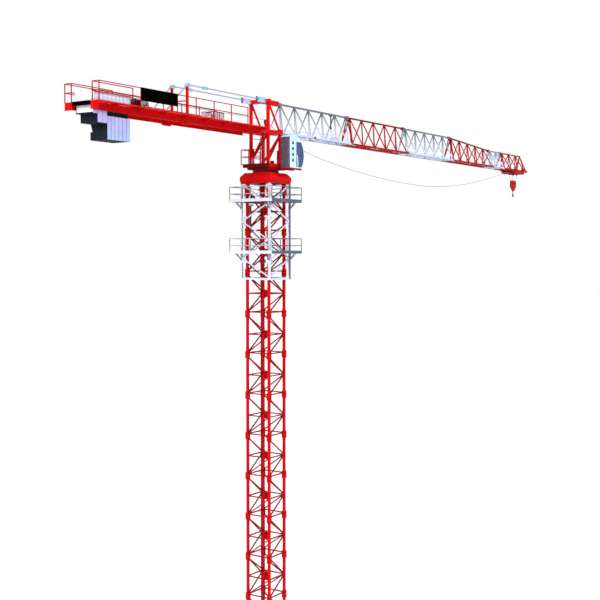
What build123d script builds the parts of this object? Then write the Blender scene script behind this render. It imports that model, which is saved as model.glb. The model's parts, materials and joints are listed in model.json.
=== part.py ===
"""Flat-top tower crane, scale model at 1:2 of the real crane.

Millimetres of the model, so each length is half the real one. The origin is the centre of the
mast's foot on the ground, +Z is up, +X runs along the jib to its tip, and the cab is on the -Y side.
"""
from build123d import *
import math
import os

# Mast: square lattice tower of bolted sections
MAST_HALF = 450            # axis to the centre of a leg
LEG = 80                   # square leg
SECTIONS = 14
SECTION_H = 1400
COLLAR = 124               # thick end of a leg, where the sections are bolted together
COLLAR_H = 125
MAST_BAR = 38              # ties and diagonals
MAST_BRACE_H = 250         # plate across the section at half height
MAST_BRACE_T = 12

# Foot of the mast
FOOT_PLATE = 320
FOOT_PLATE_T = 30
BASE_H = 200
BASE_TIE = 90

# Climbing cage round the top of the mast
CAGE_HALF = 590
CAGE_POST = 50
CAGE_BELOW = 3025          # its foot below the mast's top
CAGE_BAR = 36
CAGE_BAYS = 5
CAGE_BEAM = 70
PLATFORM_HALF = 895
PLATFORM_T = 24
PLATFORM_CLEAR = 6         # gap between a platform's opening and the cage
PLATFORM_DROPS = (365, 2115)   # tops of the two platforms below the mast's top
BRACKET_DROP = 260
RAIL_H = 500
RAIL = 24

# Slewing support, ring and turntable
SUPPORT_GAP = 310          # mast top to the tray
SUPPORT_HALF = 635
SUPPORT_RIM_H = 145
SUPPORT_TOP_HALF = 515
SUPPORT_SLOPE_H = 150
RING_R = 440
RING_WALL = 110
RING_H = 52
RING_CLEAR = 0.4
TURNTABLE_HALF = 450
TURNTABLE_H = 75
TURNTABLE_PLATE = 560      # half of the frame above it
TURNTABLE_PLATE_T = 120

# Slewing tower and its head
TOWER_HALF = 355
TOWER_LEG = 90
TOWER_BAR = 50
TOWER_H = 1145
HEAD_H = 1016              # tower top to the top of the head's cross beam
HEAD_BEAM = 130
HEAD_BEAM_HALF = 445
HEAD_LUG_W = 110
HEAD_LUG_H = 165
TOWER_RING_H = 120
JIB_SEAT_X = 470           # front of the beam that the jib's bottom chords are pinned to
JIB_SEAT_T = 60
JIB_SEAT_RISE = 60
JIB_SEAT_FALL = 80

# Walkway beside the slewing tower
WALK_OUT = 645
WALK_T = 22
WALK_RAIL_H = 500
WALK_POSTS = (0.32, 0.82)  # posts along its rear edge, as parts of the edge

# Cab
CAB_X = 60                 # back wall
CAB_L = 880
CAB_NEAR = 960
CAB_FAR = 590
CAB_LOW = 130              # cab's floor below the turntable's top
CAB_SILL_L = 725           # length of the floor
CAB_BELLY_Z = 470
CAB_BROW_L = 715
CAB_BROW_Z = 905
CAB_CROWN_L = 300
CAB_CROWN_Z = 1120
CAB_BACK_H = 1045
CAB_WALL = 24
CAB_GLASS_T = 8
GLASS_GAP = 0.3
WINDOW_X = 405             # side window's back edge from the cab's back wall
WINDOW_FRAME = 50          # cab's outline to the side window
WINDOW_HIGH = 885          # side window's top above the floor
SCREEN_FRAME = 40          # side walls to the windscreen
SCREEN_LOW, SCREEN_HIGH = 120, 870
VENT_X, VENT_Z = 195, 255
VENT_STEP = 195
VENTS = 4
VENT_W, VENT_H = 105, 98
CAB_ARM = 50
CAB_ARM_H = 60
CAB_ARM_X = (90, 430)

# Jib: triangular lattice, one chord above and two below
JIB_X = 795
JIB_LOW = 2022             # bottom chords above the mast's top
JIB_H = 1018
JIB_END_H = 763
JIB_HALF = 262
JIB_CHORD = 70
JIB_TOP_CHORD = 58
JIB_BAR = 36
JIB_LEDGE = 28
JIB_LEDGE_T = 10
JIB_LUG = 104
JIB_LUG_L = 80
JIB_LENGTHS = (4500, 4500, 4300, 4300, 1400, 2560)
JIB_BAY = 900              # near the length of one bay of its lacing
TAPERED = 3                # section whose top chord comes down, the first being 0
FIRST_NODE = 240           # joint of two sections to the first node on the top chord
FOOT_AHEAD = 0.65          # node on a bottom chord ahead of one on the top chord, in bays
NODE_INSET = 50
NOSE_L = 250
TIP_L = 550
TIP_T = 40
TIP_H = 150
JIB_ROOT_L = JIB_X - JIB_SEAT_X   # bottom chords reach this far behind the first top joint

# Counter-jib
CJ_REAR_CLEAR = 120        # last slab to the frame's end
CJ_OUT = 370               # outer face of a girder
CJ_DEPTH = 210
CJ_FLANGE = 38
CJ_WEB = 12
CJ_CROSS = 80
CJ_CROSS_STEP = 1000
CJ_FRONT = 820
DECK_T = 18
DECK_HALF = 665
DECK_CLEAR = 30            # end of the deck's middle to the first slab
WALK_ARM = 40
WALK_ARM_H = 60
END_PLATE_T = 14
CJ_RAIL_H = 533
CJ_RAIL_STEP = 1000
CJ_RAIL_FRONT = 1900
SIGN_X = 7035
SIGN_L = 1605
SIGN_LOW = 163
SIGN_H = 375
SIGN_T = 14
POST_X = 4550
POST_Y = 305
POST_TOP = 940
TIE_W = 34
TIE_PLATE_L = 520
TIE_PLATE_H = 150
TIE_PLATE_T = 30
BACK_TIE_X = 5600

# Hoist winch
WINCH_CLEAR = 370          # its back end to the first slab
WINCH_L = 540
WINCH_HALF = 265
WINCH_BASE_H = 50
WINCH_CHEEK_T = 24
WINCH_CHEEK_H = 270
DRUM_AXIS = 225            # above the deck
DRUM_R = 105
DRUM_FLANGE_R = 160
DRUM_HALF = 150
DRUM_FLANGE_T = 16
DRUM_GAP = 1
SPINDLE_R = 30
MOTOR_R = 95
MOTOR_L = 95

# Ballast slabs, hung between the girders
SLAB_HALF = 327
SLAB_EAR = 365
SLAB_EAR_H = 300
SLAB_GAP = 4
TALL_X, TALL_COUNT, TALL_T, TALL_DROP = 7150, 6, 154, 989
MEDIUM_COUNT, MEDIUM_T, MEDIUM_DROP = 2, 192, 544
SHORT_COUNT, SHORT_T, SHORT_DROP = 1, 172, 309
NECK_H = 128               # tall slabs are narrower below the girders
NECK_IN = 70
SLAB_FOOT_H = 237          # foot of a tall slab below its sloping far side
SLAB_SLOPE_H = 250
SLAB_SLOPE_IN = 84

# Trolley and hook
TROLLEY_X = 21500          # middle of the trolley along the jib
TROLLEY_HALF = 620
TROLLEY_PLATE_T = 12
TROLLEY_RISE = 62          # side plates above the bottom chords' axis
TROLLEY_DROP = 165         # and below it
TROLLEY_CROSS = 50
WHEEL_X = 470
WHEEL_R = 40
WHEEL_W = 22
WHEEL_SEAT = 0.3
WHEEL_GAP = 5
AXLE_R = 12
AXLE_LIP = 1               # wheel's rim to the edge of its ledge
BASKET_L = 440
BASKET_W = 420
BASKET_H = 112
BASKET_BAR = 24
ROPE_LUG_H = 90            # plate below the basket's end that holds the slack rope
ROPE_LUG_W = 40
CHEEK_T = 10
CHEEK_GAP = 1.5            # between a sheave and the plate beside it

# Ropes and sheaves
ROPE_R = 7
ROPE_SIDES = 8             # of the long slack rope
ROPE_BEND = 0.45           # share of each stretch of its route that a bend takes
GROOVE_GAP = 0.4
ROPE_GAP = 1
SHEAVE_T = 30
SHEAVE_LIP = 12            # sheave's rim beyond the rope's centre line
PIN_R = 14
PIN_GAP = 0.3
SIDE_SHEAVE_X = 435
SIDE_SHEAVE_R = 80
MIDDLE_SHEAVE_R = 95
TROLLEY_SHEAVE_DROP = 125
BLOCK_SHEAVE_X = 175
ROOT_SHEAVE_X = 1100
ROOT_SHEAVE_DROP = 112
HEAD_SHEAVE_RISE = 300
BRACKET_R = 36

# Hook block and hook
BLOCK_TOP = 492            # block's top below the bottom chords
BLOCK_H = 540
BLOCK_HALF = 335
BLOCK_SHOULDER = 265
BLOCK_SLOPE = 70
BLOCK_SIDE_H = 250         # upright edges of the cheeks
BLOCK_FOOT = 62
BLOCK_SHEAVE_DROP = 150
NOSE_H = 90
BORE_DEPTH = 62
SHANK_R = 20
SHANK_GAP = 0.3
SHANK_L = 150              # bare shank between the block and the hook
HOOK_R = 74
HOOK_EYE_R = 42
HOOK_EYE_SHIFT = 8
HOOK_T = 38
HOOK_MOUTH = 52

# Slack hoist rope between the jib's root and the trolley: distance out along the jib, depth
# below the bottom chords
SLACK_ROUTE = ((1700, 356), (2400, 492), (3250, 640), (4200, 775), (5300, 902), (6500, 1018),
               (7800, 1122), (9200, 1203), (10600, 1250), (11900, 1262), (13100, 1212),
               (14300, 1128), (15500, 1010), (16600, 868), (17500, 727), (18300, 590),
               (19100, 444), (19800, 314))

MAST_TOP = BASE_H + SECTIONS * SECTION_H
TRAY_Z = MAST_TOP + SUPPORT_GAP
RING_Z = TRAY_Z + SUPPORT_RIM_H + SUPPORT_SLOPE_H
TABLE_Z = RING_Z + 2 * RING_H + RING_CLEAR
FLOOR_Z = TABLE_Z + TURNTABLE_H + TURNTABLE_PLATE_T
TOWER_TOP = FLOOR_Z + TOWER_H
CHORD_Z = MAST_TOP + JIB_LOW
TOP_CHORD_Z = CHORD_Z + JIB_H
DECK_Z = TOWER_TOP + DECK_T
MEDIUM_X = TALL_X + TALL_COUNT * TALL_T
SHORT_X = MEDIUM_X + MEDIUM_COUNT * MEDIUM_T
CJ_REAR = SHORT_X + SHORT_COUNT * SHORT_T + CJ_REAR_CLEAR
DECK_REAR = TALL_X - DECK_CLEAR
WINCH_X = TALL_X - WINCH_CLEAR


def block(x, y, z):
    """A box given by its low and high limit along each axis."""
    size = Box(x[1] - x[0], y[1] - y[0], z[1] - z[0])
    return Pos((x[0] + x[1]) / 2, (y[0] + y[1]) / 2, (z[0] + z[1]) / 2) * size


def bar(start, end, across, width, thick=None):
    """A straight bar; across is a direction square to it, which its thickness lies along."""
    run = Vector(*end) - Vector(*start)
    section = Plane(origin=start, x_dir=across, z_dir=run) * Rectangle(thick or width, width)
    return extrude(section, run.length)


def joined(pieces):
    """The pieces fused into one shape."""
    return pieces[0] + pieces[1:]


def write(name, shape):
    """One STEP file for one node; a list holds solids that don't touch."""
    os.makedirs("parts", exist_ok=True)
    if isinstance(shape, list):
        shape = Compound(children=[solid for piece in shape for solid in piece.solids()])
    export_step(shape, f"parts/{name}.step")


def corners(half):
    """The four corners of a square, in order round it."""
    return [(-half, half), (-half, -half), (half, -half), (half, half)]


def sides(half):
    """Each side of a square as its two corners and its outward direction."""
    ring = corners(half)
    outward = [(-1, 0, 0), (0, -1, 0), (1, 0, 0), (0, 1, 0)]
    return [(ring[i], ring[(i + 1) % 4], outward[i]) for i in range(4)]


def mast_base():
    """Four feet with ground plates, joined by a square of ties and two crossed ones."""
    pieces = []
    for x, y in corners(MAST_HALF):
        half = FOOT_PLATE / 2
        pieces.append(block((x - half, x + half), (y - half, y + half), (0, FOOT_PLATE_T)))
        half = COLLAR / 2
        pieces.append(block((x - half, x + half), (y - half, y + half), (0, BASE_H)))
    low = BASE_TIE / 2
    for (ax, ay), (bx, by), outward in sides(MAST_HALF):
        pieces.append(bar((ax, ay, low), (bx, by, low), outward, BASE_TIE))
    ring = corners(MAST_HALF)
    for a, b in ((ring[0], ring[2]), (ring[1], ring[3])):
        pieces.append(bar((*a, low), (*b, low), (0, 0, 1), BASE_TIE))
    return joined(pieces)


def mast_section():
    """One lattice section, its foot at z = 0."""
    pieces = []
    half = COLLAR / 2
    for x, y in corners(MAST_HALF):
        pieces.append(block((x - LEG / 2, x + LEG / 2), (y - LEG / 2, y + LEG / 2), (0, SECTION_H)))
        for low in (0, SECTION_H - COLLAR_H):
            pieces.append(block((x - half, x + half), (y - half, y + half), (low, low + COLLAR_H)))
    foot, middle, top = COLLAR_H / 2, SECTION_H / 2, SECTION_H - COLLAR_H / 2
    ring = corners(MAST_HALF)
    zigzag = [(0, 1), (1, 2), (3, 2), (0, 3)]     # corner at the joints, corner at half height
    outward = [(1, 0, 0), (0, 1, 0), (1, 0, 0), (0, 1, 0)]
    for (end, mid), across in zip(zigzag, outward):
        a, b = ring[end], ring[mid]
        for z in (foot, middle):
            pieces.append(bar((*a, z), (*b, z), across, MAST_BAR))
        pieces.append(bar((*a, foot), (*b, middle), across, MAST_BAR))
        pieces.append(bar((*b, middle), (*a, top), across, MAST_BAR))
    near, back = ring[1], ring[3]
    pieces.append(bar((*near, middle), (*back, middle), (1, -1, 0), MAST_BRACE_H, MAST_BRACE_T))
    return joined(pieces)


def cage_side(side):
    """One flat side of the climbing cage, with a post at its first corner."""
    (ax, ay), (bx, by), outward = sides(CAGE_HALF)[side]
    low, high = MAST_TOP - CAGE_BELOW, TRAY_Z
    along = Vector(bx - ax, by - ay, 0).normalized()
    start = Vector(ax, ay, 0) + along * (CAGE_POST / 2)
    end = Vector(bx, by, 0) - along * (CAGE_POST / 2)
    pieces = [block((ax - CAGE_POST / 2, ax + CAGE_POST / 2), (ay - CAGE_POST / 2, ay + CAGE_POST / 2),
                    (low, high))]
    for z in (low + CAGE_BEAM / 2, high - CAGE_BEAM / 2):
        pieces.append(bar((start.X, start.Y, z), (end.X, end.Y, z), outward, CAGE_BEAM, CAGE_POST))
    clear = CAGE_BEAM + CAGE_BAR
    bay = (high - low - 2 * clear) / CAGE_BAYS
    inset = CAGE_BAR / 2
    inner_end = end - along * inset
    for i in range(CAGE_BAYS):
        z0, z1 = low + clear + i * bay, low + clear + (i + 1) * bay
        if (i + side + 1) % 2:
            a, b = (inner_end.X, inner_end.Y, z0), (start.X, start.Y, z1)
        else:
            a, b = (start.X, start.Y, z0), (inner_end.X, inner_end.Y, z1)
        pieces.append(bar(a, b, outward, CAGE_BAR))
    rod = bar((inner_end.X, inner_end.Y, low + CAGE_BEAM / 2),
              (inner_end.X, inner_end.Y, high - CAGE_BEAM / 2), outward, CAGE_BAR)
    pieces.append(rod)
    return joined(pieces)


def cage_platform(top):
    """Square work platform with brackets under its corners."""
    inner = CAGE_HALF + CAGE_POST / 2 + PLATFORM_CLEAR
    plate = block((-PLATFORM_HALF, PLATFORM_HALF), (-PLATFORM_HALF, PLATFORM_HALF),
                  (top - PLATFORM_T, top))
    plate -= block((-inner, inner), (-inner, inner), (top - PLATFORM_T, top))
    seat = CAGE_HALF + CAGE_POST / 2
    pieces = [plate]
    for (ax, ay), (bx, by), outward in sides(1):
        for end in ((ax, ay), (bx, by)):
            along = (end[0] * CAGE_HALF, end[1] * CAGE_HALF)
            root = [outward[i] * (seat + PLATFORM_T / 2) + (1 - abs(outward[i])) * along[i]
                    for i in (0, 1)]
            tip = [outward[i] * (PLATFORM_HALF - PLATFORM_T) + (1 - abs(outward[i])) * along[i]
                   for i in (0, 1)]
            across = (outward[1], outward[0], 0)
            pieces.append(bar((*root, top - BRACKET_DROP), (*root, top - PLATFORM_T / 2), across,
                              PLATFORM_T))
            pieces.append(bar((*root, top - BRACKET_DROP + PLATFORM_T), (*tip, top - PLATFORM_T / 2),
                              across, PLATFORM_T))
    return joined(pieces)


def square_railing(half, top, height):
    """Posts and two rails on each side of a square platform."""
    ring = corners(half)
    pieces = []
    for (ax, ay), (bx, by), outward in sides(half):
        for z in (top + height / 2, top + height - RAIL / 2):
            pieces.append(bar((ax, ay, z), (bx, by, z), outward, RAIL))
        middle = ((ax + bx) / 2, (ay + by) / 2)
        pieces.append(bar((*middle, top), (*middle, top + height - RAIL / 2), outward, RAIL))
    for x, y in ring:
        pieces.append(block((x - RAIL / 2, x + RAIL / 2), (y - RAIL / 2, y + RAIL / 2),
                            (top, top + height)))
    return joined(pieces)


def slewing_support():
    """Flared tray on four stubs that stand on the mast's legs."""
    rim = block((-SUPPORT_HALF, SUPPORT_HALF), (-SUPPORT_HALF, SUPPORT_HALF),
                (TRAY_Z, TRAY_Z + SUPPORT_RIM_H))
    low = Plane.XY.offset(TRAY_Z + SUPPORT_RIM_H) * Rectangle(2 * SUPPORT_HALF, 2 * SUPPORT_HALF)
    high = Plane.XY.offset(RING_Z) * Rectangle(2 * SUPPORT_TOP_HALF, 2 * SUPPORT_TOP_HALF)
    slope = loft([low, high])
    pieces = [rim, slope]
    half = COLLAR / 2
    for x, y in corners(MAST_HALF):
        pieces.append(block((x - half, x + half), (y - half, y + half), (MAST_TOP, TRAY_Z)))
    body = joined(pieces)
    bore = RING_R - RING_WALL
    return body - Pos(0, 0, (TRAY_Z + RING_Z) / 2) * Cylinder(bore, RING_Z - TRAY_Z)


def ring(z):
    """One half of the slewing ring."""
    outer = Cylinder(RING_R, RING_H) - Cylinder(RING_R - RING_WALL, RING_H)
    return Pos(0, 0, z + RING_H / 2) * outer


def turntable():
    """Square body on the ring, with the wider frame that carries the slewing tower on top."""
    body = block((-TURNTABLE_HALF, TURNTABLE_HALF), (-TURNTABLE_HALF, TURNTABLE_HALF),
                 (TABLE_Z, TABLE_Z + TURNTABLE_H))
    plate = block((-TURNTABLE_PLATE, TURNTABLE_PLATE), (-TURNTABLE_PLATE, TURNTABLE_PLATE),
                  (TABLE_Z + TURNTABLE_H, FLOOR_Z))
    body = body + plate
    bore = RING_R - RING_WALL
    return body - Pos(0, 0, (TABLE_Z + FLOOR_Z) / 2) * Cylinder(bore, FLOOR_Z - TABLE_Z)


def slewing_tower():
    """Four legs with a diagonal on each side and a ring of beams at the top."""
    pieces = []
    half = TOWER_LEG / 2
    for x, y in corners(TOWER_HALF):
        pieces.append(block((x - half, x + half), (y - half, y + half), (FLOOR_Z, TOWER_TOP)))
    low, high = FLOOR_Z + TOWER_LEG, TOWER_TOP - TOWER_RING_H
    ring_z = TOWER_TOP - TOWER_RING_H / 2
    for (ax, ay), (bx, by), outward in sides(TOWER_HALF):
        pieces.append(bar((ax, ay, ring_z), (bx, by, ring_z), outward, TOWER_RING_H, TOWER_LEG))
        foot, head = (low, high) if ax - ay < bx - by else (high, low)
        pieces.append(bar((ax, ay, foot), (bx, by, head), outward, TOWER_BAR))
    for y in (-TOWER_HALF, TOWER_HALF):
        pieces.append(block((-CJ_FRONT, JIB_SEAT_X - JIB_SEAT_T), (y - half, y + half),
                            (TOWER_TOP - TOWER_RING_H, TOWER_TOP)))
    out = TOWER_HALF + half
    pieces.append(block((JIB_SEAT_X - JIB_SEAT_T, JIB_SEAT_X), (-out, out),
                        (TOWER_TOP - JIB_SEAT_FALL, TOWER_TOP + JIB_SEAT_RISE)))
    pieces.append(block((-half, half), (-TOWER_HALF, TOWER_HALF),
                        (TOWER_TOP - TOWER_LEG, TOWER_TOP)))
    pieces += sheave_cheeks(0, HEAD_SHEAVE_Z, TOWER_TOP - half, HEAD_SHEAVE_Z)
    return joined(pieces)


def tower_head():
    """Two upright legs at the back, two raking struts, a cross beam and the jib's lug."""
    pieces = []
    half = TOWER_LEG / 2
    beam_z = TOWER_TOP + HEAD_H
    back = -TOWER_HALF
    for y in (-TOWER_HALF, TOWER_HALF):
        pieces.append(block((back - half, back + half), (y - half, y + half), (TOWER_TOP, beam_z)))
        foot = (TOWER_HALF - half, y, TOWER_TOP)
        strut = bar(foot, (back, y, beam_z - HEAD_BEAM / 2), (0, 1, 0), TOWER_BAR)
        sole = block((-TOWER_HALF, TOWER_HALF + half), (y - half, y + half),
                     (TOWER_TOP, beam_z))
        pieces.append(strut & sole)
        pieces.append(block((TOWER_HALF - TOWER_LEG, TOWER_HALF + half), (y - half, y + half),
                            (TOWER_TOP, TOWER_TOP + TOWER_BAR / 2)))
    pieces.append(block((back - HEAD_BEAM / 2, back + HEAD_BEAM / 2),
                        (-HEAD_BEAM_HALF, HEAD_BEAM_HALF), (beam_z - HEAD_BEAM, beam_z)))
    lug_end = JIB_X - JIB_LUG_L
    pieces.append(block((back, lug_end), (-HEAD_LUG_W / 2, HEAD_LUG_W / 2),
                        (TOP_CHORD_Z - HEAD_LUG_H / 2, TOP_CHORD_Z + HEAD_LUG_H / 2)))
    return joined(pieces)


def tower_platform():
    """Walkway along the far side of the turntable."""
    return block((-TURNTABLE_PLATE, TURNTABLE_PLATE), (TURNTABLE_PLATE, WALK_OUT),
                 (FLOOR_Z - WALK_T, FLOOR_Z))


def tower_railing():
    """Railing along the walkway and back along the rear edge of the turntable."""
    reach = TURNTABLE_PLATE - RAIL / 2
    out = WALK_OUT - RAIL / 2
    near = -TOWER_HALF
    stops = [(reach, out), (0, out), (-reach, out)]
    stops += [(-reach, out + (near - out) * part) for part in WALK_POSTS]
    pieces = []
    for x, y in stops:
        pieces.append(block((x - RAIL / 2, x + RAIL / 2), (y - RAIL / 2, y + RAIL / 2),
                            (FLOOR_Z, FLOOR_Z + WALK_RAIL_H)))
    for z in (FLOOR_Z + WALK_RAIL_H / 2, FLOOR_Z + WALK_RAIL_H - RAIL / 2):
        pieces.append(bar((reach, out, z), (-reach, out, z), (0, 1, 0), RAIL))
        pieces.append(bar((-reach, out, z), (-reach, near, z), (1, 0, 0), RAIL))
    return joined(pieces)


CAB_FLOOR_Z = FLOOR_Z - CAB_LOW


def cab_profile(inset, near, far):
    """The cab's side view, drawn in by inset, carried across between two planes."""
    with BuildSketch(Plane.XZ) as outline:
        with BuildLine(Location((CAB_X, CAB_FLOOR_Z))):
            Polyline((0, CAB_BACK_H), (0, 0), (CAB_SILL_L, 0))
            ThreePointArc((CAB_SILL_L, 0), (CAB_L, CAB_BELLY_Z), (CAB_BROW_L, CAB_BROW_Z))
            ThreePointArc((CAB_BROW_L, CAB_BROW_Z), (CAB_CROWN_L, CAB_CROWN_Z), (0, CAB_BACK_H))
        make_face()
        if inset:
            offset(amount=-inset, kind=Kind.INTERSECTION, mode=Mode.REPLACE)
    return Pos(0, -far, 0) * extrude(outline.sketch, near - far)


def side_window(inset, near, far):
    """The front half of the cab's outline inside the window frame."""
    window = block((CAB_X + WINDOW_X + inset, CAB_X + CAB_L), (-near, -far),
                   (CAB_FLOOR_Z, CAB_FLOOR_Z + WINDOW_HIGH - inset))
    return cab_profile(WINDOW_FRAME + inset, near, far) & window


def screen_box(inset):
    """Space that the windscreen takes out of the front wall."""
    return block((CAB_X + CAB_SILL_L - CAB_WALL, CAB_X + CAB_L + CAB_WALL),
                 (-CAB_NEAR + SCREEN_FRAME + inset, -CAB_FAR - SCREEN_FRAME - inset),
                 (CAB_FLOOR_Z + SCREEN_LOW + inset, CAB_FLOOR_Z + SCREEN_HIGH - inset))


def cab_shell():
    """Floor, back, roof and front of the cab, with the windscreen's opening."""
    near, far = CAB_NEAR - CAB_WALL, CAB_FAR + CAB_WALL
    shell = cab_profile(0, near, far) - cab_profile(CAB_WALL, near, far)
    return shell - screen_box(0)


def cab_sides():
    """The cab's two side walls with their windows, and a column of vents in the near one."""
    near_wall = cab_profile(0, CAB_NEAR, CAB_NEAR - CAB_WALL) - side_window(0, CAB_NEAR, CAB_NEAR - CAB_WALL)
    far_wall = cab_profile(0, CAB_FAR + CAB_WALL, CAB_FAR) - side_window(0, CAB_FAR + CAB_WALL, CAB_FAR)
    left = CAB_X + VENT_X - VENT_W / 2
    for k in range(VENTS):
        low = CAB_FLOOR_Z + VENT_Z + k * VENT_STEP - VENT_H / 2
        near_wall -= block((left, left + VENT_W), (-CAB_NEAR, -CAB_NEAR + CAB_WALL), (low, low + VENT_H))
    return [near_wall, far_wall]


def cab_glass():
    """Two side panes and a bulging windscreen, each in the middle of its wall."""
    edge = (CAB_WALL - CAB_GLASS_T) / 2
    near = side_window(GLASS_GAP, CAB_NEAR - edge, CAB_NEAR - edge - CAB_GLASS_T)
    far = side_window(GLASS_GAP, CAB_FAR + edge + CAB_GLASS_T, CAB_FAR + edge)
    screen = cab_profile(edge, CAB_NEAR, CAB_FAR) - cab_profile(edge + CAB_GLASS_T, CAB_NEAR, CAB_FAR)
    return [near, far, screen & screen_box(GLASS_GAP)]


def cab_bracket():
    """Arms from the turntable's side that carry the cab's floor."""
    high = CAB_FLOOR_Z
    low = high - CAB_ARM_H
    pieces = []
    for x in CAB_ARM_X:
        pieces.append(block((x, x + CAB_ARM), (-CAB_NEAR, -TURNTABLE_HALF), (low, high)))
    for y in (-CAB_NEAR, -CAB_FAR - CAB_ARM):
        pieces.append(block((CAB_X, CAB_X + CAB_SILL_L), (y, y + CAB_ARM), (low, high)))
    return joined(pieces)


def jib_section(index):
    """One lattice section of the jib, with lugs at both ends of each chord."""
    x0 = JIB_X + sum(JIB_LENGTHS[:index])
    x1 = x0 + JIB_LENGTHS[index]
    bays = round(JIB_LENGTHS[index] / JIB_BAY)
    drop = JIB_H - JIB_END_H
    h0 = JIB_H - (drop if index > TAPERED else 0)
    h1 = JIB_H - (drop if index >= TAPERED else 0)
    last = index == len(JIB_LENGTHS) - 1

    def high(x):
        return CHORD_Z + h0 + (h1 - h0) * (x - x0) / (x1 - x0)

    low0 = x0 - JIB_ROOT_L if index == 0 else x0
    low1 = x1 + NOSE_L if last else x1
    half = JIB_TOP_CHORD / 2
    chord = [(x0, high(x0) - half), (x1, high(x1) - half), (x1, high(x1) + half), (x0, high(x0) + half)]
    pieces = [extrude(Plane.XZ * Polygon(*chord, align=None), half, both=True)]
    for x, way in ((x0, 1), (x1, -1)):
        if last and way < 0:
            continue
        inner = x + way * JIB_LUG_L
        outer_end = x - JIB_LUG_L if index == 0 and way > 0 else x
        span = (min(outer_end, inner), max(outer_end, inner))
        pieces.append(block(span, (-JIB_LUG / 2, JIB_LUG / 2),
                            (high(x) - JIB_LUG / 2, high(x) + JIB_LUG / 2)))
    for side in (-1, 1):
        y = side * JIB_HALF
        outer = sorted((y, y + side * (JIB_CHORD / 2 + JIB_LEDGE)))
        pieces.append(bar((low0, y, CHORD_Z), (low1, y, CHORD_Z), (0, 1, 0), JIB_CHORD))
        ledge_low = CHORD_Z - JIB_CHORD / 2
        pieces.append(block((low0, low1), outer, (ledge_low, ledge_low + JIB_LEDGE_T)))
    bay = (x1 - x0) / bays
    near_end, far_end = low0 + NODE_INSET, low1 - NODE_INSET
    first = x0 + (NODE_INSET if index == 0 else FIRST_NODE)
    tops = [first + k * bay for k in range(bays)]
    feet = [min(top + FOOT_AHEAD * bay, x1 - NODE_INSET) for top in tops]
    lacing = [(tops[0], near_end)] + list(zip(tops, feet)) + list(zip(tops[1:], feet))
    if index > 0:
        lacing.append((x0 + NODE_INSET, near_end))
    if index == 0 or last:
        lacing.append((x1 - NODE_INSET, feet[-1]))
    if last:
        lacing.append((x1 - NODE_INSET, far_end))
    for side in (-1, 1):
        y = side * JIB_HALF
        slope = Vector(0, y, CHORD_Z - high(x0))
        across = Vector(1, 0, 0).cross(slope).normalized()
        for top, foot in lacing:
            start, end = (top, 0, high(top)), (foot, y, CHORD_Z)
            run = Vector(*end) - Vector(*start)
            pieces.append(bar(start, end, run.cross(across).cross(run), JIB_BAR))
    rungs = [near_end] + feet
    if far_end - feet[-1] > NODE_INSET:
        rungs.append(far_end)
    for k, x in enumerate(rungs):
        pieces.append(bar((x, -JIB_HALF, CHORD_Z), (x, JIB_HALF, CHORD_Z), (0, 0, 1), JIB_BAR))
        if k:
            way = 1 if k % 2 else -1
            pieces.append(bar((rungs[k - 1], -way * JIB_HALF, CHORD_Z), (x, way * JIB_HALF, CHORD_Z),
                              (0, 0, 1), JIB_BAR))
    return joined(pieces)


JIB_END_X = JIB_X + sum(JIB_LENGTHS) + NOSE_L


def jib_nose():
    """Bracket at the jib's end, tapering to the rope's anchor."""
    low = CHORD_Z + TIP_H / 2
    with BuildSketch(Plane.XZ) as plate:
        with BuildLine():
            Polyline((JIB_END_X, CHORD_Z - JIB_CHORD / 2), (JIB_END_X, low + TIP_H),
                     (JIB_END_X + TIP_L, low + TIP_H / 2), (JIB_END_X + TIP_L, low),
                     (JIB_END_X, CHORD_Z - JIB_CHORD / 2))
        make_face()
    web = extrude(plate.sketch, TIP_T / 2, both=True)
    beam = block((JIB_END_X, JIB_END_X + TIP_T), (-JIB_HALF - JIB_CHORD / 2, JIB_HALF + JIB_CHORD / 2),
                 (CHORD_Z - JIB_CHORD / 2, CHORD_Z + JIB_CHORD / 2))
    return web + beam


def counter_jib_frame():
    """Two channel girders with cross beams, and arms that carry the walkways outside them."""
    top = DECK_Z - DECK_T
    low = top - CJ_DEPTH
    pieces = []
    for side in (-1, 1):
        outer = side * CJ_OUT
        web = sorted((outer, outer - side * CJ_WEB))
        flange = sorted((outer, outer - side * CJ_FLANGE))
        pieces.append(block((-CJ_REAR, -CJ_FRONT), web, (low, top)))
        for z in (low, top - CJ_WEB):
            pieces.append(block((-CJ_REAR, -CJ_FRONT), flange, (z, z + CJ_WEB)))
    count = int((DECK_REAR - CJ_FRONT) / CJ_CROSS_STEP) + 1
    stops = [-CJ_FRONT - CJ_CROSS / 2 - k * CJ_CROSS_STEP for k in range(count)]
    ends = [-DECK_REAR + CJ_CROSS / 2, -CJ_REAR + CJ_CROSS / 2]
    inner = CJ_OUT - CJ_WEB / 2
    for x in stops + ends:
        pieces.append(block((x - CJ_CROSS / 2, x + CJ_CROSS / 2), (-inner, inner),
                            (top - CJ_CROSS - CJ_WEB, top)))
    arms = stops + ends[:1] + [-(DECK_REAR + CJ_REAR) / 2]
    for x in arms:
        for side in (-1, 1):
            y = sorted((side * inner, side * (DECK_HALF - RAIL)))
            pieces.append(block((x - WALK_ARM / 2, x + WALK_ARM / 2), y, (top - WALK_ARM_H, top)))
    for side in (-1, 1):
        y = sorted((side * inner, side * (DECK_HALF - RAIL)))
        pieces.append(block((-CJ_REAR, -CJ_REAR + END_PLATE_T), y, (low, top)))
    return joined(pieces)


def counter_jib_deck():
    """Deck on the girders, with the middle left open for the ballast."""
    plate = block((-CJ_REAR, -CJ_FRONT), (-DECK_HALF, DECK_HALF), (DECK_Z - DECK_T, DECK_Z))
    inner = CJ_OUT + DECK_T
    return plate - block((-CJ_REAR - DECK_T, -DECK_REAR), (-inner, inner), (DECK_Z - 2 * DECK_T, DECK_Z))


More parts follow.
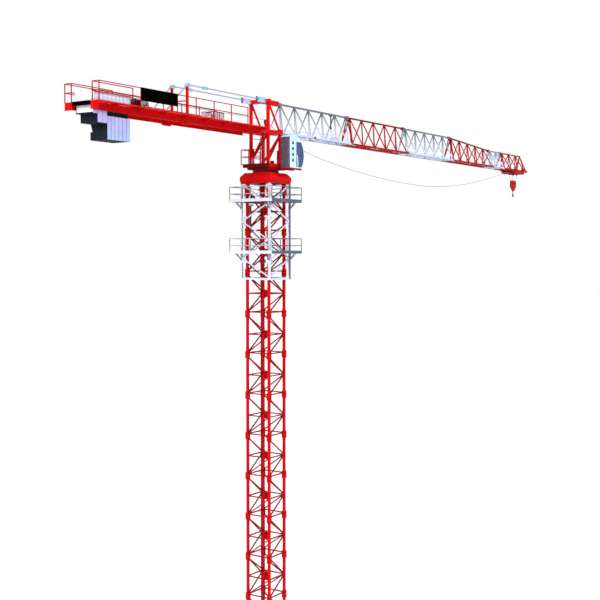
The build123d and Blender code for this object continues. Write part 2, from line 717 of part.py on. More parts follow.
def counter_jib_railing(side):
    """Outer and inner posts and rails along one walkway of the counter-jib."""
    y = side * (DECK_HALF - RAIL / 2)
    guard = side * (CJ_OUT + DECK_T + RAIL / 2)
    high = DECK_Z + CJ_RAIL_H
    front = -CJ_RAIL_FRONT
    back = -CJ_REAR + RAIL
    sign_front = -SIGN_X + SIGN_L
    count = round((front - sign_front) / CJ_RAIL_STEP)
    posts = [(front + k * (sign_front - front) / count, y) for k in range(count + 1)]
    near_ballast = -DECK_REAR + RAIL
    posts += [(x, at) for x, at in ((-SIGN_X, y), (back, y), (back, guard), (near_ballast, guard))]
    pieces = [block((x - RAIL / 2, x + RAIL / 2), (at - RAIL / 2, at + RAIL / 2), (DECK_Z, high))
              for x, at in posts]
    for z in (DECK_Z + CJ_RAIL_H / 2, high - RAIL / 2):
        pieces.append(bar((front, y, z), (back, y, z), (0, 1, 0), RAIL))
        pieces.append(bar((near_ballast, guard, z), (back, guard, z), (0, 1, 0), RAIL))
        pieces.append(bar((back, y, z), (back, guard, z), (1, 0, 0), RAIL))
    return joined(pieces)


def sign_board():
    """Plain board on the near railing."""
    y = -DECK_HALF
    return block((-SIGN_X, -SIGN_X + SIGN_L), (y - SIGN_T, y),
                 (DECK_Z + SIGN_LOW, DECK_Z + SIGN_LOW + SIGN_H))


def tie_posts():
    """Two posts on the deck, joined at half height."""
    pieces = []
    for side in (-1, 1):
        y = side * POST_Y
        pieces.append(block((-POST_X - TIE_W, -POST_X + TIE_W), (y - TIE_W, y + TIE_W),
                            (DECK_Z, DECK_Z + POST_TOP)))
    z = DECK_Z + POST_TOP / 2
    pieces.append(bar((-POST_X, -POST_Y, z), (-POST_X, POST_Y, z), (1, 0, 0), TIE_W))
    return joined(pieces)


def tie_bar(side):
    """Tie from the head over the post's top and down to the counter-jib."""
    y = side * POST_Y
    z = DECK_Z + POST_TOP + TIE_W / 2
    front = -TOWER_HALF - HEAD_BEAM / 2
    pieces = [bar((front, y, z), (-POST_X - TIE_W, y, z), (0, 1, 0), TIE_W)]
    plate = block((front - TIE_PLATE_L, front), (y - TIE_PLATE_T / 2, y + TIE_PLATE_T / 2),
                  (z - TIE_PLATE_H / 2, z + TIE_PLATE_H / 2))
    pieces.append(plate)
    foot = (-BACK_TIE_X, y, DECK_Z)
    rake = bar(foot, (-POST_X - TIE_W / 2, y, z), (0, 1, 0), TIE_W)
    above = block((-BACK_TIE_X - TIE_W, -POST_X - TIE_W), (y - TIE_W, y + TIE_W),
                  (DECK_Z, z + TIE_W / 2))
    pieces.append(rake & above)
    return joined(pieces)


def across(x, z, radius, low, high):
    """A round bar or disc along Y."""
    length = high - low
    return Pos(x, (low + high) / 2, z) * Rot(90, 0, 0) * Cylinder(radius, length)


DRUM_X = -WINCH_X + WINCH_L / 2
DRUM_Z = DECK_Z + DRUM_AXIS


def hoist_winch():
    """Winch frame with two cheeks, the drum's spindle and the motor on the far cheek."""
    x0, x1 = -WINCH_X, -WINCH_X + WINCH_L
    inner = DRUM_HALF + DRUM_GAP
    pieces = [block((x0, x1), (-WINCH_HALF, WINCH_HALF), (DECK_Z, DECK_Z + WINCH_BASE_H))]
    for side in (-1, 1):
        y = sorted((side * inner, side * (inner + WINCH_CHEEK_T)))
        cheek = block((x0 + WINCH_CHEEK_T, x1 - WINCH_CHEEK_T), y, (DECK_Z, DECK_Z + WINCH_CHEEK_H))
        pieces.append(cheek)
    pieces.append(across(DRUM_X, DRUM_Z, SPINDLE_R, -inner, inner))
    out = inner + WINCH_CHEEK_T
    pieces.append(across(DRUM_X, DRUM_Z, MOTOR_R, out, out + MOTOR_L))
    return joined(pieces)


def winch_drum():
    """Drum with two flanges, bored for its spindle."""
    drum = across(DRUM_X, DRUM_Z, DRUM_R, -DRUM_HALF, DRUM_HALF)
    for side in (-1, 1):
        y = sorted((side * DRUM_HALF, side * (DRUM_HALF - DRUM_FLANGE_T)))
        drum += across(DRUM_X, DRUM_Z, DRUM_FLANGE_R, *y)
    return drum - across(DRUM_X, DRUM_Z, SPINDLE_R + PIN_GAP, -DRUM_HALF, DRUM_HALF)


def sheave(x, z, radius):
    """Grooved rope wheel; radius is to the rope's centre line."""
    half = SHEAVE_T / 2
    groove = ROPE_R + GROOVE_GAP
    rim = radius + SHEAVE_LIP
    wheel = across(x, z, rim, -half, half)
    floor = radius - groove
    wheel -= across(x, z, rim + SHEAVE_LIP, -groove, groove) - across(x, z, floor, -groove, groove)
    return wheel - across(x, z, PIN_R + PIN_GAP, -half, half)


def sheave_cheeks(x, z, low, high):
    """Two plates and a pin that hold one sheave, between two heights."""
    inner = SHEAVE_T / 2 + CHEEK_GAP
    pieces = [across(x, z, PIN_R, -inner, inner)]
    for side in (-1, 1):
        y = sorted((side * inner, side * (inner + CHEEK_T)))
        pieces.append(block((x - BRACKET_R, x + BRACKET_R), y, (low, high)))
        pieces.append(across(x, z, BRACKET_R, *y))
    return pieces


HEAD_SHEAVE_Z = TOWER_TOP + HEAD_SHEAVE_RISE
ROOT_SHEAVE_Z = CHORD_Z - ROOT_SHEAVE_DROP


def root_bracket():
    """Tube between the bottom chords that carries the root sheave."""
    inner = JIB_HALF - JIB_CHORD / 2
    tube = bar((ROOT_SHEAVE_X, -inner, CHORD_Z), (ROOT_SHEAVE_X, inner, CHORD_Z), (0, 0, 1), JIB_BAR)
    return joined([tube] + sheave_cheeks(ROOT_SHEAVE_X, ROOT_SHEAVE_Z, ROOT_SHEAVE_Z, CHORD_Z))


def tangent_ends(first, last):
    """Ends of the straight rope between two wheels, each given as x, z, radius and side.

    Side is 1 where the rope touches the wheel on the left of its run, and -1 on the right.
    """
    ax, az, ra, sa = first
    bx, bz, rb, sb = last
    reach = math.hypot(bx - ax, bz - az)
    way = math.atan2(bz - az, bx - ax) - math.asin((sa * ra - sb * rb) / reach)
    nx, nz = -math.sin(way), math.cos(way)
    return (ax + sa * ra * nx, 0, az + sa * ra * nz), (bx + sb * rb * nx, 0, bz + sb * rb * nz)


def rope(start, end):
    """A straight run of rope."""
    run = Vector(*end) - Vector(*start)
    return extrude(Plane(origin=start, z_dir=run) * Circle(ROPE_R), run.length)


def slab_group(front, count, thick, drop):
    """A row of hanging ballast slabs, each with ears that rest on the girders."""
    top = DECK_Z - DECK_T
    slabs = []
    for k in range(count):
        x1 = -front - k * thick
        x0 = x1 - thick + SLAB_GAP
        body = block((x0, x1), (-SLAB_HALF, SLAB_HALF), (top - drop, top + SLAB_EAR_H))
        ears = block((x0, x1), (-SLAB_EAR, SLAB_EAR), (top, top + SLAB_EAR_H))
        slabs.append(body + ears)
    return slabs


def tall_slabs():
    """The tall slabs, with a neck under the girders and the far side drawn in above the foot."""
    neck = DECK_Z - DECK_T - CJ_DEPTH
    foot = DECK_Z - DECK_T - TALL_DROP + SLAB_FOOT_H
    x0, x1 = -MEDIUM_X, -TALL_X
    wedge = Polygon((SLAB_HALF, foot), (SLAB_HALF, foot + SLAB_SLOPE_H),
                    (SLAB_HALF - SLAB_SLOPE_IN, foot), align=None)
    cut = extrude(Pos(x0, 0, 0) * (Plane.YZ * wedge), x1 - x0)
    for side in (-1, 1):
        y = sorted((side * SLAB_HALF, side * (SLAB_HALF - NECK_IN)))
        cut += block((x0, x1), y, (neck - NECK_H, neck))
    return [slab - cut for slab in slab_group(TALL_X, TALL_COUNT, TALL_T, TALL_DROP)]


TROLLEY_LOW = CHORD_Z - TROLLEY_DROP
TROLLEY_SHEAVE_Z = CHORD_Z - TROLLEY_SHEAVE_DROP
LEDGE_TOP = CHORD_Z - JIB_CHORD / 2 + JIB_LEDGE_T
WHEEL_Z = LEDGE_TOP + WHEEL_R + WHEEL_SEAT
WHEEL_Y = JIB_HALF + JIB_CHORD / 2 + WHEEL_GAP
PLATE_Y = WHEEL_Y + WHEEL_W + WHEEL_GAP + AXLE_LIP
TROLLEY_SHEAVES = ((-SIDE_SHEAVE_X, SIDE_SHEAVE_R), (0, MIDDLE_SHEAVE_R), (SIDE_SHEAVE_X, SIDE_SHEAVE_R))


def trolley_frame():
    """Two side plates outside the chords, cross tubes under them and the sheave plates between."""
    x0, x1 = TROLLEY_X - TROLLEY_HALF, TROLLEY_X + TROLLEY_HALF
    out = PLATE_Y + TROLLEY_PLATE_T
    pieces = []
    for side in (-1, 1):
        y = sorted((side * PLATE_Y, side * out))
        pieces.append(block((x0, x1), y, (TROLLEY_LOW, LEDGE_TOP)))
        for x in (-WHEEL_X, WHEEL_X):
            ear = (TROLLEY_X + x - WHEEL_R, TROLLEY_X + x + WHEEL_R)
            pieces.append(block(ear, y, (TROLLEY_LOW, CHORD_Z + TROLLEY_RISE)))
    tube = TROLLEY_CROSS
    for x in (x0, x1 - tube):
        pieces.append(block((x, x + tube), (-PLATE_Y, PLATE_Y), (TROLLEY_LOW, TROLLEY_LOW + tube)))
    inner = SHEAVE_T / 2 + CHEEK_GAP
    for side in (-1, 1):
        y = sorted((side * inner, side * (inner + CHEEK_T)))
        pieces.append(block((x0 + tube, x1 - tube), y, (TROLLEY_LOW, TROLLEY_LOW + 2 * tube)))
    for x, radius in TROLLEY_SHEAVES:
        pieces.append(across(TROLLEY_X + x, TROLLEY_SHEAVE_Z, PIN_R, -inner, inner))
    return joined(pieces)


def trolley_sheaves():
    """The three rope wheels of the trolley."""
    return [sheave(TROLLEY_X + x, TROLLEY_SHEAVE_Z, radius) for x, radius in TROLLEY_SHEAVES]


def trolley_wheels():
    """Four wheels on the chords' ledges, each with the stub of its axle."""
    wheels = []
    for x in (-WHEEL_X, WHEEL_X):
        for side in (-1, 1):
            y = sorted((side * WHEEL_Y, side * (WHEEL_Y + WHEEL_W)))
            wheel = across(TROLLEY_X + x, WHEEL_Z, WHEEL_R, *y)
            stub = sorted((side * WHEEL_Y, side * PLATE_Y))
            wheels.append(wheel + across(TROLLEY_X + x, WHEEL_Z, AXLE_R, *stub))
    return wheels


def trolley_basket():
    """Low open basket for the fitter at the root end of the trolley."""
    x1 = TROLLEY_X - TROLLEY_HALF
    x0 = x1 - BASKET_L
    half = BASKET_W / 2
    low, high = TROLLEY_LOW, TROLLEY_LOW + BASKET_H
    wide = BASKET_BAR
    pieces = [block((x0, x1), (-half, half), (low, low + wide / 2))]
    for x in (x0, (x0 + x1 - wide) / 2, x1 - wide):
        for y in (-half, half - wide):
            pieces.append(block((x, x + wide), (y, y + wide), (low, high)))
    for y in (-half, half - wide):
        pieces.append(block((x0, x1), (y, y + wide), (high - wide, high)))
    for x in (x0, x1 - wide):
        pieces.append(block((x, x + wide), (-half, half), (high - wide, high)))
    pieces.append(block((x0, x0 + wide), (-ROPE_LUG_W / 2, ROPE_LUG_W / 2), (low - ROPE_LUG_H, low)))
    return joined(pieces)


BLOCK_TOP_Z = CHORD_Z - BLOCK_TOP
BLOCK_LOW = BLOCK_TOP_Z - BLOCK_H
BLOCK_SHEAVE_Z = BLOCK_TOP_Z - BLOCK_SHEAVE_DROP


def rope_falls():
    """Four runs of rope between the trolley and the hook block."""
    falls = []
    for side in (-1, 1):
        foot = (TROLLEY_X + side * BLOCK_SHEAVE_X, BLOCK_SHEAVE_Z, SIDE_SHEAVE_R)
        outer = (TROLLEY_X + side * SIDE_SHEAVE_X, TROLLEY_SHEAVE_Z, SIDE_SHEAVE_R, side)
        middle = (TROLLEY_X, TROLLEY_SHEAVE_Z, MIDDLE_SHEAVE_R, side)
        falls.append(rope(*tangent_ends(outer, (*foot, side))))
        falls.append(rope(*tangent_ends(middle, (*foot, -side))))
    return falls


def hook_block():
    """Two tapered cheeks with the sheaves' pins, and the bored nose that holds the hook."""
    side_low = -BLOCK_SLOPE - BLOCK_SIDE_H
    outline = [(-BLOCK_HALF, -BLOCK_SLOPE), (-BLOCK_HALF, side_low),
               (-BLOCK_FOOT, -BLOCK_H), (BLOCK_FOOT, -BLOCK_H),
               (BLOCK_HALF, side_low), (BLOCK_HALF, -BLOCK_SLOPE),
               (BLOCK_SHOULDER, 0), (-BLOCK_SHOULDER, 0)]
    face = Pos(TROLLEY_X, 0, BLOCK_TOP_Z) * (Plane.XZ * Polygon(*outline, align=None))
    inner = SHEAVE_T / 2 + CHEEK_GAP
    plate = Pos(0, -inner, 0) * extrude(face, CHEEK_T)
    pieces = [plate, Pos(0, 2 * inner + CHEEK_T, 0) * plate]
    for side in (-1, 1):
        pieces.append(across(TROLLEY_X + side * BLOCK_SHEAVE_X, BLOCK_SHEAVE_Z, PIN_R, -inner, inner))
    out = inner + CHEEK_T
    nose = block((TROLLEY_X - BLOCK_FOOT, TROLLEY_X + BLOCK_FOOT), (-out, out),
                 (BLOCK_LOW, BLOCK_LOW + NOSE_H))
    pieces.append(nose)
    body = joined(pieces)
    bore = Cylinder(SHANK_R + SHANK_GAP, BORE_DEPTH)
    return body - Pos(TROLLEY_X, 0, BLOCK_LOW + BORE_DEPTH / 2) * bore


def block_sheaves():
    """The two rope wheels of the hook block."""
    return [sheave(TROLLEY_X + side * BLOCK_SHEAVE_X, BLOCK_SHEAVE_Z, SIDE_SHEAVE_R)
            for side in (-1, 1)]


HOOK_Z = BLOCK_LOW - SHANK_L - HOOK_R + SHANK_R


def hook():
    """Swivelling hook: round shank, crescent body with an open mouth."""
    half = HOOK_T / 2
    body = across(TROLLEY_X, HOOK_Z, HOOK_R, -half, half)
    body -= across(TROLLEY_X + HOOK_EYE_SHIFT, HOOK_Z, HOOK_EYE_R, -half, half)
    mouth = block((TROLLEY_X + SHANK_R, TROLLEY_X + 2 * HOOK_R), (-half, half),
                  (HOOK_Z, HOOK_Z + HOOK_MOUTH + HOOK_R))
    body -= mouth
    high = BLOCK_LOW + BORE_DEPTH - SHANK_GAP
    low = HOOK_Z + HOOK_EYE_R
    shank = Pos(TROLLEY_X, 0, (low + high) / 2) * Cylinder(SHANK_R, high - low)
    eye = across(TROLLEY_X + HOOK_EYE_SHIFT, HOOK_Z, HOOK_EYE_R, -HOOK_T, HOOK_T)
    return body + (shank - eye)


def slack_rope():
    """Free rope that sags from the root sheave to the trolley."""
    start = (ROOT_SHEAVE_X, 0, ROOT_SHEAVE_Z - SIDE_SHEAVE_R)
    end = (TROLLEY_X - TROLLEY_HALF - BASKET_L - 2 * ROPE_GAP, 0, TROLLEY_LOW - ROPE_LUG_H / 2)
    points = [start] + [(x, 0, CHORD_Z - drop) for x, drop in SLACK_ROUTE] + [end]
    radii = []
    for before, here, after in zip(points, points[1:], points[2:]):
        a, b = Vector(*here) - Vector(*before), Vector(*after) - Vector(*here)
        turn = math.radians(a.get_angle(b))
        radii.append(ROPE_BEND * min(a.length, b.length) / math.tan(turn / 2))
    path = FilletPolyline(*points, radius=radii)
    first = Vector(*points[1]) - Vector(*points[0])
    return sweep(Plane(origin=start, z_dir=first) * RegularPolygon(ROPE_R, ROPE_SIDES), path)


write("mast_base", mast_base())
SECTION = mast_section()
for index in range(SECTIONS):
    write(f"mast_section_{index + 1:02d}", Pos(0, 0, BASE_H + index * SECTION_H) * SECTION)
for index, name in enumerate(("rear", "near", "front", "far")):
    write(f"climbing_cage_{name}", cage_side(index))
write("cage_platforms", [cage_platform(MAST_TOP - drop) for drop in PLATFORM_DROPS])
write("cage_railings", [square_railing(PLATFORM_HALF - RAIL / 2, MAST_TOP - drop, RAIL_H)
                        for drop in PLATFORM_DROPS])
write("slewing_support", slewing_support())
write("slewing_ring_lower", ring(RING_Z))
write("slewing_ring_upper", ring(RING_Z + RING_H + RING_CLEAR))
write("turntable", turntable())
write("slewing_tower", slewing_tower())
write("tower_head", tower_head())
write("tower_walkway", tower_platform() + tower_railing())
for index in range(len(JIB_LENGTHS)):
    section = jib_section(index)
    if index == 0:
        section += root_bracket()
    if index == len(JIB_LENGTHS) - 1:
        section += jib_nose()
    write(f"jib_section_{index + 1}", section)
write("counter_jib_frame", counter_jib_frame())
write("counter_jib_deck", counter_jib_deck())
write("counter_jib_railing_near", counter_jib_railing(-1))
write("counter_jib_railing_far", counter_jib_railing(1))
write("sign_board", sign_board())
write("tie_posts", tie_posts())
write("tie_bars", [tie_bar(-1), tie_bar(1)])
write("cab_shell", cab_shell())
write("cab_sides", cab_sides())
write("cab_glass", cab_glass())
write("cab_bracket", cab_bracket())
write("hoist_winch", hoist_winch())
write("winch_drum", winch_drum())
write("guide_sheaves", [sheave(0, HEAD_SHEAVE_Z, SIDE_SHEAVE_R),
                        sheave(ROOT_SHEAVE_X, ROOT_SHEAVE_Z, SIDE_SHEAVE_R)])
write("ballast_tall", tall_slabs())
write("ballast_short", slab_group(MEDIUM_X, MEDIUM_COUNT, MEDIUM_T, MEDIUM_DROP)
      + slab_group(SHORT_X, SHORT_COUNT, SHORT_T, SHORT_DROP))
HEAD_WHEEL = (0, HEAD_SHEAVE_Z, SIDE_SHEAVE_R, 1)
write("hoist_rope", [rope(*tangent_ends((DRUM_X, DRUM_Z, DRUM_R + ROPE_R, 1), HEAD_WHEEL)),
                     rope(*tangent_ends(HEAD_WHEEL, (ROOT_SHEAVE_X, ROOT_SHEAVE_Z, SIDE_SHEAVE_R, -1)))])
write("slack_rope", slack_rope())
write("trolley_frame", trolley_frame())
write("trolley_wheels", trolley_wheels() + trolley_sheaves())
write("trolley_basket", trolley_basket())
write("rope_falls", rope_falls())
write("hook_block", hook_block())
write("block_sheaves", block_sheaves())
write("hook", hook())
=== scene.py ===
"""Looks of the flat-top tower crane: paint, fittings, ropes, floor, light and camera."""
import json
import math
from itertools import product

import bmesh
import bpy
from mathutils import Matrix, Vector


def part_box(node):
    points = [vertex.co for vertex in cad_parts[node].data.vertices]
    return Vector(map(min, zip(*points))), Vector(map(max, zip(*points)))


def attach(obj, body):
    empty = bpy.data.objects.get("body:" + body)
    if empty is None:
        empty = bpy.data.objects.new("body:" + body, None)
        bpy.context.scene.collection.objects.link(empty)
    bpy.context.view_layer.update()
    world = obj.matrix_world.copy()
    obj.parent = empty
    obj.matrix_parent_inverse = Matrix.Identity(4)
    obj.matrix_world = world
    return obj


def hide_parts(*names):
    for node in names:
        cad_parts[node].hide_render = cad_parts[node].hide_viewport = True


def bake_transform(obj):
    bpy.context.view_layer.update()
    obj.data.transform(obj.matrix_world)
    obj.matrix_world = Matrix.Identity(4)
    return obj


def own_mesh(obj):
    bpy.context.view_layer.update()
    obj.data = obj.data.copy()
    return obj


bl_info = {
    "name": "Tower crane looks",
    "version": (1, 0, 0),
    "blender": (4, 5, 0),
    "location": "View3D > Sidebar > Crane",
    "description": "Paints the tower crane and adds its fittings, ropes and stage",
    "category": "Object",
}

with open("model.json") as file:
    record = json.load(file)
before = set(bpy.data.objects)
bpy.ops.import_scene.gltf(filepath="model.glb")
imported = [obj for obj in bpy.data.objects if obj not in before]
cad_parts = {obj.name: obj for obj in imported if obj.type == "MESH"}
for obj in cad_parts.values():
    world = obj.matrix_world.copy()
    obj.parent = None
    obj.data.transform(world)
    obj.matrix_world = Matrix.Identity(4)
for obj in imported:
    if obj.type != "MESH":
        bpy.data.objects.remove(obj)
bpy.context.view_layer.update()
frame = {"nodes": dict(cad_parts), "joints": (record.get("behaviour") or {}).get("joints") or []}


def low(node):
    """Lowest corner of a CAD node."""
    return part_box(node)[0]


def high(node):
    """Highest corner of a CAD node."""
    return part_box(node)[1]


def middle(node):
    """Centre of a CAD node's box."""
    return (low(node) + high(node)) / 2


# Levels and places of the crane, in metres
COLLAR = 0.124
LEG = 0.08
CHORD = 0.07
CHORD_LUG = 0.028
CAGE_POST = 0.05
TOWER_LEG = 0.09
SECTIONS = sum(name.startswith("mast_section") for name in frame["nodes"])
LEG_AT = high("mast_section_01").x - COLLAR / 2
BASE = high("mast_base").z
MAST_TOP = high(f"mast_section_{SECTIONS:02d}").z
SECTION = (MAST_TOP - BASE) / SECTIONS
GROUND_PLATE = 0.03
CAGE_LOW = low("climbing_cage_rear").z
TRAY = high("climbing_cage_rear").z
CAGE_AT = -low("climbing_cage_rear").x - CAGE_POST / 2
RING = low("slewing_ring_lower").z
FLOOR = high("turntable").z
TOWER_TOP = low("counter_jib_deck").z
DECK = high("counter_jib_deck").z
TOWER_LEG_AT = high("slewing_tower").y - TOWER_LEG / 2
HEAD_H = 1.016
GIRDER_AT = 0.37
GIRDER_LOW = low("counter_jib_frame").z
LAST_SLAB_DROP = 0.309
SHORT_LOW = TOWER_TOP - LAST_SLAB_DROP
SLAB_HALF = 0.327
TALL_PITCH, SHORT_PITCH = 0.154, 0.192
CHORDS = low("jib_section_3").z + CHORD / 2
CHORD_AT = high("jib_section_3").y - CHORD / 2 - CHORD_LUG
JIB_TOP = high("jib_section_1").z
TROLLEY = middle("trolley_frame").x
TROLLEY_WHEEL_AT, TROLLEY_WHEEL = 0.47, 0.04
SIDE_SHEAVE_AT, BLOCK_SHEAVE_AT = 0.435, 0.175
SIDE_SHEAVE, MIDDLE_SHEAVE = 0.08, 0.095
TRAVEL = next(joint for joint in frame["joints"] if joint["name"] == "trolley_travel")["range_m"]
CAB_BACK, CAB_NEAR, CAB_FLOOR = low("cab_sides")
CAB_FAR = high("cab_sides").y
CAB_MIDDLE = (CAB_NEAR + CAB_FAR) / 2
CAB_DECK = CAB_FLOOR + 0.024
SEAT = Vector((CAB_BACK + 0.33, CAB_MIDDLE, CAB_DECK))
UP = Vector((0, 0, 1))


# What a user may change

class CranePaint(bpy.types.PropertyGroup):
    """Colours of the crane and how its parts are finished."""
    bevel: bpy.props.FloatProperty(
        name="Edge radius", description="Radius that catches light on the parts' edges",
        default=0.003, min=0.0, unit="LENGTH")
    crane_red: bpy.props.FloatVectorProperty(
        name="Crane red", description="Paint of the tower and counter-jib",
        default=(0.68, 0.0, 0.002, 1), size=4, subtype="COLOR")
    mast_red: bpy.props.FloatVectorProperty(
        name="Mast red", description="Paint of the mast and the cage's top",
        default=(0.55, 0.0, 0.003, 1), size=4, subtype="COLOR")
    jib_red: bpy.props.FloatVectorProperty(
        name="Jib red", description="Paint of the red jib sections",
        default=(0.22, 0.0, 0.005, 1), size=4, subtype="COLOR")
    jib_white: bpy.props.FloatVectorProperty(
        name="Jib white", description="Paint of the white jib sections, low down",
        default=(0.58, 0.66, 0.80, 1), size=4, subtype="COLOR")
    cage_white: bpy.props.FloatVectorProperty(
        name="Cage white", description="Paint of the climbing cage",
        default=(0.66, 0.72, 0.82, 1), size=4, subtype="COLOR")
    cab_white: bpy.props.FloatVectorProperty(
        name="Cab white", description="Paint of the cab's sides",
        default=(0.55, 0.78, 0.86, 1), size=4, subtype="COLOR")
    board: bpy.props.FloatVectorProperty(
        name="Board", description="Paint of the bare board",
        default=(0.001, 0.001, 0.001, 1), size=4, subtype="COLOR")
    concrete: bpy.props.FloatVectorProperty(
        name="Slabs", description="Light tone of the concrete slabs",
        default=(0.52, 0.44, 0.80, 1), size=4, subtype="COLOR")


class CraneFittings(bpy.types.PropertyGroup):
    """Sizes and numbers of the fittings."""
    bolt: bpy.props.FloatProperty(
        name="Mast bolt radius", description="Radius of the heads at the mast's joints",
        default=0.013, min=0.002, unit="LENGTH")
    rung: bpy.props.FloatProperty(
        name="Rung spacing", description="Height from one rung of a ladder to the next",
        default=0.15, min=0.05, unit="LENGTH")
    ladder: bpy.props.FloatProperty(
        name="Ladder width", description="Distance between a ladder's rails",
        default=0.2, min=0.05, unit="LENGTH")
    roller: bpy.props.FloatProperty(
        name="Cage roller radius", description="Radius of the rollers on the mast's legs",
        default=0.03, min=0.005, max=0.04, unit="LENGTH")
    teeth: bpy.props.IntProperty(
        name="Ring teeth", description="Number of teeth round the slewing ring",
        default=72, min=12, max=120)
    vents: bpy.props.IntProperty(
        name="Cab vents", description="Number of vents on the cab's near side",
        default=4, min=1, max=4)
    drum_turns: bpy.props.IntProperty(
        name="Turns on the drum", description="Turns of hoist rope on the winch drum",
        default=17, min=3, max=18)
    winch_from: bpy.props.FloatProperty(
        name="Trolley winch start", description="Rear end of the trolley winch",
        default=4.15, unit="LENGTH")
    winch_to: bpy.props.FloatProperty(
        name="Trolley winch end", description="Front end of the trolley winch",
        default=4.75, unit="LENGTH")
    grid: bpy.props.IntProperty(
        name="Basket bars", description="Number of bars across the trolley basket's floor",
        default=16, min=4, max=40)


class CraneStage(bpy.types.PropertyGroup):
    """Camera and light."""
    place: bpy.props.FloatVectorProperty(
        name="Camera", description="Where the camera stands",
        default=(-30.7615, -21.9275, 17.69), size=3, subtype="TRANSLATION")
    yaw: bpy.props.FloatProperty(
        name="Yaw", description="Direction of the view round the crane, from +Y to +X",
        default=math.radians(56.302), subtype="ANGLE")
    pitch: bpy.props.FloatProperty(
        name="Pitch", description="Direction of the view above the horizon",
        default=math.radians(-2.461), subtype="ANGLE")
    lens: bpy.props.FloatProperty(
        name="Lens", description="Focal length",
        default=65.90, min=10.0, unit="CAMERA")
    sun: bpy.props.FloatProperty(
        name="Key light", description="Strength of the main light",
        default=2.1, min=0.0)
    side: bpy.props.FloatProperty(
        name="Side light", description="Strength of the light on the crane's rear",
        default=2.6, min=0.0)
    fill: bpy.props.FloatProperty(
        name="Fill light", description="Strength of the light from all around",
        default=0.42, min=0.0)
    floor: bpy.props.FloatProperty(
        name="Floor glow", description="Light that the floor itself shows the camera",
        default=0.2, min=0.0, max=1.0, subtype="FACTOR")


# Surfaces: paint, metal, concrete, tread plate and wire

def new_group(name, inputs):
    """A node group with the sockets that it is given and those that it puts out."""
    tree = bpy.data.node_groups.new(name, "ShaderNodeTree")
    for label, value in inputs.items():
        kind = "Float" if isinstance(value, float) else "Color" if len(value) == 4 else "Vector"
        socket = tree.interface.new_socket(label, in_out="INPUT", socket_type=f"NodeSocket{kind}")
        socket.default_value = value
    for label, kind in (("Color", "Color"), ("Roughness", "Float"), ("Normal", "Vector")):
        tree.interface.new_socket(label, in_out="OUTPUT", socket_type=f"NodeSocket{kind}")
    return tree, tree.nodes.new("NodeGroupInput").outputs, tree.nodes.new("NodeGroupOutput").inputs


def add(tree, kind, inputs=None, links=None, **settings):
    """A node with its settings, its fixed inputs and the sockets that feed it."""
    made = tree.nodes.new(kind)
    for key, value in settings.items():
        setattr(made, key, value)
    for key, value in (inputs or {}).items():
        made.inputs[key].default_value = value
    for key, socket in (links or {}).items():
        tree.links.new(socket, made.inputs[key])
    return made


def math_node(tree, operation, *values):
    """The result of one sum; values are numbers or sockets."""
    made = add(tree, "ShaderNodeMath", operation=operation)
    for socket, value in zip(made.inputs, values):
        if isinstance(value, (int, float)):
            socket.default_value = value
        else:
            tree.links.new(value, socket)
    return made.outputs[0]


def spread(tree, vector, scale, detail=4.0, stretch=(1, 1, 1), rough=0.6):
    """Noise on stretched coordinates."""
    mapped = add(tree, "ShaderNodeMapping", {"Scale": stretch}, {"Vector": vector})
    return add(tree, "ShaderNodeTexNoise", {"Scale": scale, "Detail": detail, "Roughness": rough},
               {"Vector": mapped.outputs["Vector"]}).outputs["Fac"]


def ramp(tree, socket, start, end, to_start=0.0, to_end=1.0):
    """Values of a socket from start to end, spread from to_start to to_end."""
    return add(tree, "ShaderNodeMapRange",
               {"From Min": start, "From Max": end, "To Min": to_start, "To Max": to_end},
               {"Value": socket}).outputs["Result"]


def share(tree, value, start, end):
    """How far a value is on its way from start to end; all three are sockets."""
    return add(tree, "ShaderNodeMapRange",
               links={"Value": value, "From Min": start, "From Max": end}).outputs["Result"]


MIX_SHARE, MIX_FIRST, MIX_SECOND, MIX_COLOUR = 0, 6, 7, 2


def mixed(tree, factor, first, second):
    """One colour over another by a mask."""
    made = add(tree, "ShaderNodeMix", links={MIX_SHARE: factor, MIX_FIRST: first, MIX_SECOND: second},
               data_type="RGBA")
    return made.outputs[MIX_COLOUR]


def split(tree, vector):
    """The parts of a vector, by their names X, Y and Z."""
    return add(tree, "ShaderNodeSeparateXYZ", links={"Vector": vector}).outputs


def facing(tree, normal, axis):
    """Mask of the faces that look against an axis."""
    return math_node(tree, "LESS_THAN", normal[axis], -0.7)


def put_out(tree, out, colour, rough, height, strength, depth):
    """Puts out a group's colour, its roughness and the normal of its relief."""
    bump = add(tree, "ShaderNodeBump", {"Strength": strength, "Distance": depth}, {"Height": height})
    for name, socket in (("Color", colour), ("Roughness", rough), ("Normal", bump.outputs["Normal"])):
        tree.links.new(socket, out[name])
    return tree


def direct_rays(tree):
    """Mask of the rays by which the background is seen, straight on or in metal and glass."""
    rays = tree.nodes.new("ShaderNodeLightPath").outputs
    mirrored = math_node(tree, "MAXIMUM", rays["Is Glossy Ray"], rays["Is Transmission Ray"])
    return math_node(tree, "MAXIMUM", rays["Is Camera Ray"], mirrored)


